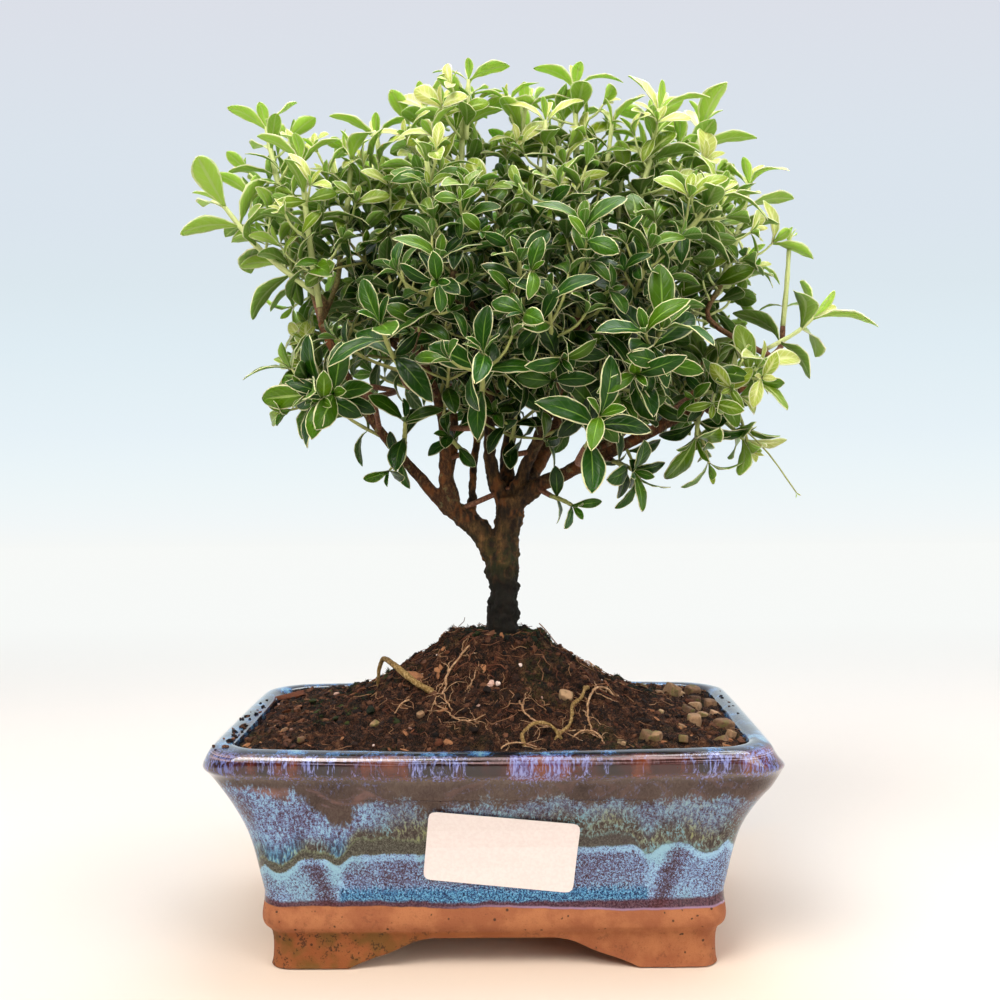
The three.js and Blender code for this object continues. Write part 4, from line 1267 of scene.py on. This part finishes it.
def soil_dressing(surface):
    draw = seeded(SOIL_SEED)

    def anywhere():
        return (draw() - 0.5) * 2 * SOIL_HALF[0], (draw() - 0.5) * 2 * SOIL_HALF[1]

    def on_mound(reach):
        angle, away = draw() * TURN, sqrt(draw()) * reach
        return cos(angle) * away * 1.2, sin(angle) * away

    peat_grain = crumb_finish("peat_grain", "060302", "26150d", "764d36")
    crumbs = [lump(f"crumb_{i}", 1, 1, 1.3, (1, 0.8, 0.7)) for i in range(4)]
    spots = [(*anywhere(), 0.1, 0.4 + 1.5 * draw() ** 3) for _ in range(CRUMBS)]
    spots += [(*on_mound(36), 0.1, 0.4 + 1.2 * draw() ** 3) for _ in range(MOUND_CRUMBS)]
    spots += [(-84 - 5 * draw(), -50 + 76 * draw(), 0.2, 0.4 + 0.8 * draw()) for _ in range(34)]
    spots += [(84 + 3 * draw(), -10 + 50 * draw(), 0.2, 0.3 + 0.5 * draw()) for _ in range(10)]
    scatter(surface, "peat_crumbs", crumbs, spots, peat_grain, draw)

    flakes = [lump(f"flake_{i}", 1, 1.5, 0.8, (1.2, 0.7, 0.22)) for i in range(2)]
    spots = [(*anywhere(), 0.3, 0.4 + 0.8 * draw()) for _ in range(FLAKES)]
    spots += [(-79, 36, 1.2, (3.6, 3.2, 3)), (-71, 3, 0.6, (2, 2, 2)), (-27, -15, 0.8, (3.2, 3, 4))]
    bark_bits = crumb_finish("bark_flakes", "2c1810", "683a24", "b07c54")
    scatter(surface, "bark_flakes", flakes, spots, bark_bits, draw)

    stones = [shard(f"stone_{i}", 1, 0.35) for i in range(3)]
    spots = [(x, y, 0.1 * r, (r * 0.62, r * 0.52, r * 0.46)) for x, y, r in PEBBLES]
    scatter(surface, "pebbles", stones, spots, pebble_finish(), draw, 0.3)

    pearls = [lump(f"pearl_{i}", 2, 1, 1.1, (1, 0.8, 0.7)) for i in range(3)]
    spots = [(x, y, 0.25 * r, 0.62 * r) for x, y, r in PERLITE]
    spots += [(*anywhere(), 0.2, 0.25 + 0.4 * draw()) for _ in range(SPECKS)]
    pearly = crumb_finish("perlite", "96705f", "d0aa9a", "f0dcd2", 0.8, 0.6)
    scatter(surface, "perlite", pearls, spots, pearly, draw)

    fibre_finish = crumb_finish("peat_fibre", "2a150d", "6e3c26", "b98e66", 0.8, 0.4)
    strands = [strand(f"strand_{i}", draw, 0.2) for i in range(5)]
    spots = [(*anywhere(), 0.3, 0.25 + 0.5 * draw()) for _ in range(FIBRES)]
    spots += [(*on_mound(42), 0.4, 0.3 + 0.7 * draw()) for _ in range(MOUND_FIBRES)]
    scatter(surface, "peat_fibres", strands, spots, fibre_finish, draw, 0.35)

    mossy, moss = moss_places(draw), moss_finish()
    cushions = [lump(f"cushion_{i}", 2, 1, 1.3, (1, 0.9, 0.6)) for i in range(3)]
    spots = [(x, y, 0, 0.7 + 1.3 * draw() ** 2) for x, y in mossy]
    scatter(surface, "moss_cushions", cushions, spots, moss, draw, 0.2)
    tufts = [blades(f"tuft_{i}", 10, 1.3, 1.3, draw) for i in range(3)]
    spots = []
    for x, y in mossy * 3:
        x, y = x + 3 * (draw() - 0.5), y + 3 * (draw() - 0.5)
        spots.append((x, y, 0.6 * draw(), 0.5 + 0.8 * draw() ** 2))
    scatter(surface, "moss_tufts", tufts, spots, moss, draw)

    fine_roots(surface, draw)


def branching_off(root, draw):
    """Two short side roots from each inner place of a fine root."""
    found = []
    for x, y, _, radius in root[1:-1]:
        for _ in range(2):
            angle, away = draw() * TURN, 2 + 3 * draw()
            bend = angle + 1.4 * (draw() - 0.5)
            thin = 0.45 * radius
            mid = (x + away * cos(angle), y + away * sin(angle), 0.6, thin)
            end = (mid[0] + away * cos(bend), mid[1] + away * sin(bend), -0.4, thin * 0.7)
            found.append([(x, y, 0.2, thin), mid, end])
    return found


def fine_roots(surface, draw):
    side_roots = []
    for root in ROOTLETS:
        side_roots += branching_off(root, draw)
    runs = []
    for root in ROOTLETS + side_roots:
        points = [Vector((x, y, mound_height(x, y) + lift + 0.4)) for x, y, lift, _ in root]
        steps = 5 * (len(root) - 1)
        run = []
        for i in range(steps + 1):
            radius = 0.8 * radius_at(root, i / steps)
            place = curve_point(points, i / steps) + aside(draw) * 0.7
            if 0 < i < steps:
                place.z = max(place.z, top_of(surface, place.x, place.y) + 0.6 * radius)
            run.append((place, radius * (0.8 + 0.35 * draw())))
        runs.append(run)
    piece = tubes("fine_roots", runs, 6)
    close_up(piece, False)
    f = Finish("root_skin")
    fine = f.noise(1.1, 4, 0.6)
    shade = f.ramp(fine, (0.3, "6a4a2e"), (0.5, "a87f58"), (0.7, "d2b08c"))
    settle(piece, f.set(Base_Color=shade, Roughness=0.6, Normal=f.bump(fine, 0.0002)))


# The wood.

def sampled(rows, gap, wander, draw):
    """Points and radii along rows of x, y, z, radius, about gap millimetres apart."""
    points = [Vector(row[:3]) for row in rows]
    length = sum((b - a).length for a, b in zip(points, points[1:]))
    steps = max(int(length / gap), len(rows))
    run = []
    for i in range(steps + 1):
        radius = radius_at(rows, i / steps)
        place = curve_point(points, i / steps) + aside(draw) * wander * min(radius, 3)
        run.append((place, radius))
    return run


TRUNK_X = 3
VOXEL = 0.6


def barked_wood():
    draw = seeded(WOOD_SEED)
    runs = [sampled(TRUNK, 3, 0.12, draw)]
    runs += [sampled(rows, 3, 0.22, draw) for rows in LIMBS]
    for rows in ROOTS:
        runs.append(sampled([(x, y, z, 0.85 * radius) for x, y, z, radius in rows], 2, 0.2, draw))
    piece = tubes("trunk_and_limbs", runs, 12)
    modify(piece, "REMESH", mode="VOXEL", voxel_size=VOXEL * MM)
    alone(piece)
    thick = piece.vertex_groups.new(name="thick")
    for vertex in piece.data.vertices:
        x, y, z = vertex.co / MM
        away = hypot(x - TRUNK_X, y)
        rooty = step(away, 8, 13) * step(106 - z, 0, 6)
        weight = min(lerp(1, 0.12, step(z + away * 0.6, 132, 178)), lerp(1, 0.2, rooty))
        thick.add([vertex.index], weight, "REPLACE")
    weather(piece, "CLOUDS", 4.5, 2.2, "thick", noise_depth=1)
    weather(piece, "VORONOI", 2.2, -1.1, "thick", noise_intensity=1.2)
    weather(piece, "CLOUDS", 1.1, 0.8, "thick", noise_depth=2)
    modify(piece, "SMOOTH", factor=0.3, iterations=1)
    smooth(piece)
    return settle(piece, bark(), ["trunk_and_branches"])


def bark():
    """Flaky bark: dark and mossy at the foot, orange-brown flakes, redder limbs."""
    f = Finish("flaky_bark")
    x, y, z = f.split(f.place())
    away = (x - TRUNK_X) * (x - TRUNK_X) + y * y
    outer = (away ** 0.5).step(6, 30)
    plates = f.cells(0.45, (1, 1, 0.4))
    fine = f.noise(1.6, 5, 0.7, (1, 1, 0.45))
    broad = f.noise(0.16, 3, 0.6, (1, 1, 0.5))
    shade = f.ramp(
        fine * 0.6 + plates * 0.45,
        (0.25, "100b07"), (0.45, "2f2113"), (0.62, "574024"), (0.8, "876138"),
    )
    flake = broad.step(0.52, 0.62) * plates.step(0.3, 0.55)
    mossy = (1 - z.step(122, 150)) * f.noise(0.3, 4, 0.7).step(0.44, 0.58)
    base = (1 - z.step(118, 129)) * (1 - outer)
    shade = f.coat(
        shade,
        (outer, f.ramp(fine, (0.3, "1f130c"), (0.5, "4f321d"), (0.68, "7f5936"))),
        (flake * 0.5, "8c5226"),
        (mossy * 0.7, "2e3616"),
        (base * 0.9, "0b0a07"),
        (f.noise(0.4, 3, 0.6).step(0.56, 0.68) * outer * 0.5, "8f9060"),
        (1 - z.step(92, 97), f.ramp(fine, (0.3, "54401f"), (0.5, "947642"), (0.68, "cdb07c"))),
    )
    bumped = f.bump(plates * 0.8 + fine, 0.0009, 0.9)
    return f.set(Base_Color=shade, Roughness=0.85, Normal=bumped, IOR=1.4)


# Shoots and leaves.

def shoot_line(foot, tip):
    start, end = Vector(foot), Vector(tip)
    bend = Vector((end.x - start.x, end.y - start.y, 0)) * 0.1
    return [start, start.lerp(end, 0.5) + bend, end]


def leaves_of(line, pairs, length, draw):
    """The leaves of a shoot: crossed pairs, closer and more upright towards the tip."""
    across = Vector((0.31, 0.95, 0.05))
    roll = draw() * pi
    leaves = []
    for pair in range(pairs + 1):
        bud = pair == pairs
        rank = pair / max(pairs - 1, 1)
        share = 0.99 if bud else lerp(0.22, 0.97, rank**0.8)
        axis = curve_way(line, share)
        across = square_to(axis, across)
        turn = roll + pair * pi / 2 + (draw() - 0.5) * 0.5
        for opposite in (0, pi):
            angle = turn + opposite
            out = outward(axis, across, angle)
            lean = 24 if bud else lerp(74, 48, rank)
            spread = radians(lean + (draw() - 0.5) * 20)
            along = out * sin(spread) + axis * cos(spread)
            size = (0.55 if bud else 0.86 + 0.24 * draw()) * length
            up = (axis - along * axis.dot(along)).normalized()
            up.rotate(Matrix.Rotation((draw() - 0.5) * LEAF_TWIST, 3, along))
            leaves.append((curve_point(line, share), along, up, size, share))
    return leaves


def back_shoots():
    shoots = []
    centre = Vector(BACK_CENTRE)
    for rise, out, count, length in BACK_ROWS:
        for index in range(count):
            angle = pi * (index + 0.5) / count
            wide = Vector((cos(angle) * BACK_REACH[0], sin(angle) * BACK_REACH[1], 0))
            tip = centre + Vector((0, 0, rise)) + wide * out
            way = wide / BACK_REACH[0] + Vector((0, 0, 0.25 + rise / 60))
            foot = tip - way.normalized() * length
            shoots.append((foot, tip, 3, BACK_LEAF))
    return shoots


def twig_start(foot):
    """The place on the outer part of the limbs where a twig to a foot best starts."""
    shares = [i / LIMB_STEPS for i in range(TWIG_FIRST_STEP, LIMB_STEPS + 1)]
    spots = []
    for rows in LIMBS:
        points = [Vector(row[:3]) for row in rows]
        spots += [curve_point(points, share) for share in shares]
    return min(spots, key=lambda p: (foot - p).length + 3 * max(0, p.z - foot.z + TWIG_RISE))


OUTLINE = [  # share of the length, share of the greatest breadth
    (0, 0.1), (0.1, 0.2), (0.2, 0.4), (0.31, 0.66), (0.43, 0.88), (0.56, 0.99), (0.68, 1),
    (0.79, 0.89), (0.88, 0.68), (0.95, 0.42), (1, 0.08),
]


def leaf_template(name, slim, fold, curl, twist, columns=4, rows=10):
    """A leaf one metre long from its foot at the origin along Y, its upper face towards Z."""
    deselect()
    bpy.ops.mesh.primitive_grid_add(
        x_subdivisions=columns, y_subdivisions=rows, size=1, location=(0, 0.5, 0),
    )
    piece = named(name)
    apply_transform()
    for vertex in piece.data.vertices:
        share = 1 - (1 - vertex.co.y) ** 1.25
        breadth = value_at(OUTLINE, share)
        side = vertex.co.x * 2
        half = slim / 2 * breadth
        wave = 0.012 * sin(share * 17 + side * 2) * abs(side)
        vertex.co = (side * half * cos(fold), share, abs(side) ** 1.2 * half * sin(fold) + wave)
    modify(piece, "SOLIDIFY", thickness=0.016, offset=-1)
    under = piece.data.attributes.new("under", "FLOAT", "FACE")
    under.data.foreach_set("value", [float(face.normal.z < -0.2) for face in piece.data.polygons])
    for vertex in piece.data.vertices:
        share = vertex.co.y
        angle = twist * share
        x, z = vertex.co.x, vertex.co.z
        vertex.co.x = x * cos(angle) - z * sin(angle)
        vertex.co.z = x * sin(angle) + z * cos(angle)
        vertex.co.z += curl * share * (0.42 - share)
        vertex.co.y = share * (1 - 0.12 * abs(curl) * share)
    smooth(piece)
    return piece


def leaf_finish():
    """Dark glossy green with a thin cream margin and a pale streak along the midrib, and painted
    shade deep inside the crown.
    """
    f = Finish("variegated_leaf")
    at = f.node("UVMap", {}, {})
    u, v, _ = f.split(at)
    side = abs(u - 0.5) * 2
    age, tone, under = f.attribute("age"), f.attribute("tone"), f.attribute("under")
    breadth = (v * (1 - v) + 0.004) ** 0.5 * 2
    uneven = (f.noise(0.3, 3) - 0.5) * 0.2
    rim = (1 - side) * breadth - uneven - age.step(0.45, 1) * 0.08
    margin = 1 - rim.step(0.03, 0.11)
    blotch = f.noise(0.22, 3, 0.6)
    green = f.ramp(
        age * 0.84 + tone * 0.12 + (blotch - 0.5) * 0.1,
        (0.0, "0c2c02"), (0.2, "1f4e04"), (0.42, "587f0c"), (0.64, "99ae30"), (0.92, "bcc468"),
    )
    vein = (v * 40 - side * 11).sine().step(0.6, 0.98)
    vein = vein * (1 - side.step(0.75, 0.95)) * side.step(0.02, 0.1)
    pale = f.mix(age.step(0.25, 0.75), "8fb84a", "d6dd98")
    feather = f.noise(1.1, 3, 0.6) * 0.1
    width = 0.03 + (1 - v) * 0.1 + age.step(0.2, 0.8) * (0.14 + feather)
    streak = (1 - side.step(width * 0.35, width)) * (1 - v.step(0.5, 0.9))
    cream = f.mix(age.step(0.25, 0.7), "e4e4b0", "dfe2b6")
    top = f.coat(
        green,
        (vein * (0.05 + age.step(0.4, 0.85) * 0.5), pale),
        (streak * (0.55 + age.step(0.1, 0.6) * 0.4), pale),
        (margin, cream),
    )
    olive = f.ramp(age * 0.85 + blotch * 0.15, (0.05, "42632a"), (0.35, "5f8636"), (0.9, "a4c850"))
    midrib = (1 - side.step(0.05, 0.16)) * 0.55
    back = f.coat(olive, (midrib, "b9c98a"), (vein * 0.15, "b9c98a"), (margin * 0.7, cream))
    # Painted shade: leaves deep inside the crown are darkened towards 0c1604.
    x, y, z = f.split(f.place())
    depth = (((x - 12) / 112) ** 2 + (y / 92) ** 2 + ((z - 208) / 84) ** 2) ** 0.5
    shade = f.coat(top, (under, back), ((1 - depth.step(0.55, 1)) * 0.5, "0c1604"))
    height = (1 - side.step(0.02, 0.14)) * -0.6 + vein * -0.35 + f.noise(0.9, 3) * 0.35
    rough = 0.24 + under * 0.3 + f.noise(0.8, 3) * 0.14
    bumped = f.bump(height, 0.00018, 0.8)
    f.set(Subsurface_Weight=0.15, Subsurface_Radius=(0.4, 1.0, 0.15), Subsurface_Scale=0.0008)
    return f.set(Base_Color=shade, Roughness=rough, Normal=bumped, Specular_IOR_Level=0.22)


def stem_finish():
    """Young stems: brown bark turning olive, then pale green at the tips."""
    f = Finish("young_stem")
    age = f.attribute("age")
    fine = f.noise(1.2, 4, 0.65)
    shade = f.ramp(
        age + (fine - 0.5) * 0.25,
        (0.05, "4a2e20"), (0.28, "7a6238"), (0.42, "9a9e58"), (0.65, "b8c478"), (1.0, "dbe6a0"),
    )
    return f.set(Base_Color=shade, Roughness=0.6, Normal=f.bump(fine, 0.0002, 0.8))


def leaf_matrix(base, along, up, length, width=1.0):
    side = along.cross(up)
    turned = Matrix((side, along, up)).transposed().to_4x4()
    size = Matrix.Diagonal((length * MM * width, length * MM, length * MM, 1))
    return Matrix.Translation(base * MM) @ turned @ size


def youth_and_painted_light(place):
    """How young the growth is at a place: lime at the top and at the far sides, which also paints
    the top and sides of the crown lighter as painted light.
    """
    # Partly painted light: the lime at the top and far sides is young growth and also stands in for
    # the light falling there.
    top = step(place.z + abs(place.x) * 0.12, 222, 290)
    right = step(place.x, 58, 98) * 0.95
    left = step(-place.x, 38, 78) * step(place.z, 160, 222) * 0.95
    return max(top, right, left)


def sprig_from(base, way, length, draw):
    """A short side shoot that leaves along a way and turns up."""
    end = base + way * length
    bend = base.lerp(end, 0.55) + Vector((way.x, way.y, 0)) * length * 0.12
    lift = Vector((0, 0, 0.14 * length * draw()))
    return [base, bend, end + lift]


def stem_run(line, thick, thin, steps=7, joints=(2, 4, 6), swell=1.18):
    """A stem's points and radii, a little swollen at its joints."""
    run = []
    for i in range(steps + 1):
        radius = lerp(thick, thin, i / steps) * (swell if i in joints else 1)
        run.append((curve_point(line, i / steps), radius))
    return run


ROOM = 1.5  # how far a leaf may reach past the CAD's box
CROWN = [  # height, and how far the crown reaches to the left and to the right there
    (150, 40, 60), (167, 57, 96), (174, 80, 98), (188, 86, 94), (220, 83, 94), (235, 86, 104),
    (244, 103, 108), (256, 112, 102), (270, 97, 98), (281, 93, 84), (292, 80, 78), (300, 60, 60),
]
OPENINGS = [
    (-42, 194, 13), (-27, 190, 9), (-25, 166, 9), (55, 191, 5), (27, 168, 5), (84, 168, 17),
]  # x, z and size of a gap


def inside(place):
    low, high = (Vector(corner) / MM - SHIFT / MM for corner in cad_bounds)
    return all(low[i] - ROOM < place[i] < high[i] + ROOM for i in range(3))


def in_crown(place, reach=0):
    """Whether a leaf that reaches so far from a place stays within the crown's rounded shape."""
    narrow = 1 - 0.25 * step(abs(place.y), 40, 90)
    z = min(max(place.z, CROWN[0][0] + 1), CROWN[-1][0] - 1)
    left, right = (value_at([(row[0], row[side]) for row in CROWN], z) for side in (1, 2))
    return -left * narrow < place.x - reach and place.x + reach < right * narrow


def sparse(place, draw):
    """Whether a place is low among the limbs, or in a gap, where few leaves grow."""
    low = 188 - 14 * step(place.x, 15, 50) - 14 * step(-place.x, 35, 60)
    low -= 30 * step(6 - abs(place.x - 8), 0, 3)
    gap = any(hypot(place.x - x, place.z - z) < size for x, z, size in OPENINGS)
    return gap or place.z < low and draw() < 0.75


class Foliage:
    """Gathers the leaves and stems of one piece."""

    def __init__(self, templates, small, draw):
        self.templates = templates
        self.small = small
        self.draw = draw
        self.copies = []
        self.runs = []

    def leafy(self, line, pairs, length, draw, thick=0.7, main=False):
        templates = self.templates if main else self.small
        for base, along, up, size, share in leaves_of(line, pairs, length, draw):
            if not inside(base + along * size):
                continue
            young = youth_and_painted_light(base)
            # The age also carries painted light: leaves at the crown's top and far sides come out
            # lighter.
            age = 0.08 + young * (0.47 + 0.34 * share**2) + 0.18 * share**4
            age += (self.draw() - 0.5) * 0.2
            bud = size < 0.6 * length
            pool = templates[:2] if bud else templates[1:]
            template = pool[int(self.draw() * len(pool)) % len(pool)]
            width = 0.85 + 0.25 * self.draw()
            size *= lerp(0.88, 1, max(young, step(abs(base.x), 60, 100)))
            matrix = leaf_matrix(base, along, up, size, width)
            age = min(max(age, 0), 1)
            self.copies.append(copy_of(template, matrix, age=age, tone=self.draw()))
        self.runs.append(stem_run(line, thick, thick * 0.7))

    def sprigs(self, line, shares, length, reach, spread, per_share=2, thick=0.5):
        """Short leafy side shoots from the axils at some shares of a line."""
        across = Vector((0.2, 0.3, 0.9))
        for share in shares:
            axis = curve_way(line, share)
            across = square_to(axis, across)
            turn = self.draw() * TURN
            if sparse(curve_point(line, share), self.draw):
                continue
            for k in range(per_share):
                angle = turn + k * pi + (self.draw() - 0.5) * 0.6
                out = outward(axis, across, angle)
                lean = radians(spread + (self.draw() - 0.5) * 24)
                way = (out * sin(lean) + axis * cos(lean)).normalized()
                if way.z < -0.35:
                    way.z *= 0.3
                    way.normalize()
                far = reach * (0.7 + 0.6 * self.draw())
                side = sprig_from(curve_point(line, share), way, far, self.draw)
                if not in_crown(side[2], 6):
                    continue
                self.leafy(side, 2, length * (0.6 + 0.25 * self.draw()), self.draw, thick)

    def branches(self, line, length):
        """Leafy side branches along the upper part of a limb."""
        across = Vector((0.6, 0.5, 0.2))
        place, turn = 0.42, self.draw() * TURN
        while place < 1:
            base, axis = curve_point(line, place), curve_way(line, place)
            across = square_to(axis, across)
            turn += 2.4
            place += 0.09 + 0.03 * self.draw()
            if base.z < 168:
                continue
            out = outward(axis, across, turn)
            way = (out + axis * 0.6 + Vector((0, 0, 0.35))).normalized()
            side = sprig_from(base, way, 24 + 16 * self.draw(), self.draw)
            if not in_crown(side[2], 10) or sparse(side[2], self.draw):
                continue
            self.leafy(side, 4, length * (0.8 + 0.2 * self.draw()), self.draw, 0.65)
            self.sprigs(side, [0.35, 0.65], length, 11, 55)

    def build(self, name, leaf, stem, age):
        wood = tubes(name + "_stems", self.runs, 6)
        close_up(wood, False)
        mark(wood, "age", age)
        wood.data.materials.append(stem)
        for twin in self.copies:
            twin.data.materials.append(leaf)
        return join([wood, *self.copies], name)


LEAVES = [  # name, breadth, fold, curl, twist
    ("bud_leaf", 0.34, 0.55, 0.15, 0.1), ("young_leaf", 0.44, 0.4, 0.3, -0.15),
    ("broad_leaf", 0.46, 0.2, 0.42, 0.12), ("curled_leaf", 0.4, 0.32, 0.75, -0.2),
    ("flat_leaf", 0.42, 0.12, 0.3, 0.25), ("long_leaf", 0.34, 0.26, 0.55, 0.05),
]
SMALL_LEAVES = [  # the same, then the columns and rows of faces
    ("small_bud", 0.34, 0.55, 0.15, 0.1, 2, 6), ("small_leaf", 0.42, 0.35, 0.35, -0.1, 2, 7),
    ("small_broad", 0.48, 0.2, 0.5, 0.15, 2, 7), ("small_long", 0.36, 0.3, 0.7, -0.2, 2, 7),
]


def crown():
    templates = [leaf_template(*row) for row in LEAVES]
    small = [leaf_template(*row) for row in SMALL_LEAVES]
    leaf, stem = leaf_finish(), stem_finish()
    twig_runs = []
    shoots = [*FRONT_SHOOTS, *back_shoots(), *INNER_SHOOTS]
    for index, (foot, tip, pairs, length) in enumerate(shoots):
        line = shoot_line(foot, tip)
        draw = seeded(SPRIG_SEED + index)
        foliage = Foliage(templates, small, draw)
        thick = lerp(0.85, 1.2, step(line[2].z, 225, 265))
        foliage.leafy(line, pairs, length, seeded(LEAF_SEED + index), thick, True)
        reach = (line[2] - line[0]).length
        if length > 13:
            shares = [0.22, 0.45, 0.68] if reach > 24 else [0.3, 0.6]
            foliage.sprigs(line, shares, length, 13, 54)
        start = twig_start(line[0])
        before = line[0] - (line[1] - line[0]).normalized() * 0.4 * (start - line[0]).length
        twig = [start, before, line[0]]
        twig_runs.append(stem_run(twig, 1, 0.95, 8, (4, 7), 1.12))
        gap = (start - line[0]).length
        if gap > 16:
            foliage.sprigs(twig, [0.9] if gap < 28 else [0.55, 0.75, 0.92], length, 12, 60)
        name = f"shoot_{index + 1:02d}"
        piece = foliage.build("leafy_" + name, leaf, stem, 0.45 + 0.45 * youth_and_painted_light(line[1]))
        settle(piece, None, [name])
    for number, rows in enumerate(LIMBS, 1):
        line = [Vector(row[:3]) for row in rows]
        foliage = Foliage(templates, small, seeded(LIMB_SEED + number))
        foliage.branches(line, 17)
        piece = foliage.build(f"inner_leaves_{number:02d}", leaf, stem, 0.4)
        settle(piece, None)
    extra = (("hanging_shoots", HANGING_SHOOTS, 0.45), ("top_shoots", TOP_SHOOTS, 0.85))
    for number, (name, shoots, age) in enumerate(extra):
        foliage = Foliage(templates, small, seeded(EXTRA_SEED + number))
        for foot, tip, pairs, length, thick in shoots:
            line = shoot_line(foot, tip)
            foliage.leafy(line, pairs, length, foliage.draw, thick, True)
            if shoots is TOP_SHOOTS:
                foliage.sprigs(line, [0.35], length, 12, 54)
        settle(foliage.build(name, leaf, stem, age), None)
    for template in templates + small:
        bpy.data.objects.remove(template)
    twigs = tubes("twigs", twig_runs, 8)
    close_up(twigs, False)
    settle(twigs, bark_of_twigs())


def bark_of_twigs():
    f = Finish("twig_bark")
    _, _, z = f.split(f.place())
    fine = f.noise(1.4, 4, 0.65)
    broad = f.noise(0.12, 2)
    old = f.ramp(fine, (0.3, "3b241b"), (0.5, "70452f"), (0.7, "9a6c4c"))
    young = f.ramp(fine, (0.3, "6f6a3c"), (0.6, "9aa05c"))
    shade = f.mix((z + broad * 50).step(232, 268), old, young)
    return f.set(Base_Color=shade, Roughness=0.7, Normal=f.bump(fine, 0.0003, 0.8))


# The label and the drain meshes keep their CAD shapes.

def bare_label():
    f = Finish("label_paper")
    fibre = f.noise(0.9, 4, 0.6)
    shade = f.mix(fibre.step(0.35, 0.65), "ece1de", "f1e8e5")
    f.set(Base_Color=shade, Roughness=0.45, Normal=f.bump(fibre, 0.00004, 0.6))
    paint(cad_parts["label"], f.material)


def drain_meshes():
    f = Finish("moulded_mesh")
    grain = f.noise(1.5, 3)
    shade = f.mix(grain, "15191b", "262d30")
    f.set(Base_Color=shade, Roughness=0.55, Normal=f.bump(grain, 0.0001, 0.5))
    for side in ("left", "right"):
        paint(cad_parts[f"drain_mesh_{side}"], f.material)


glazed_pot()
soil_dressing(heaped_soil())
barked_wood()
crown()
bare_label()
drain_meshes()
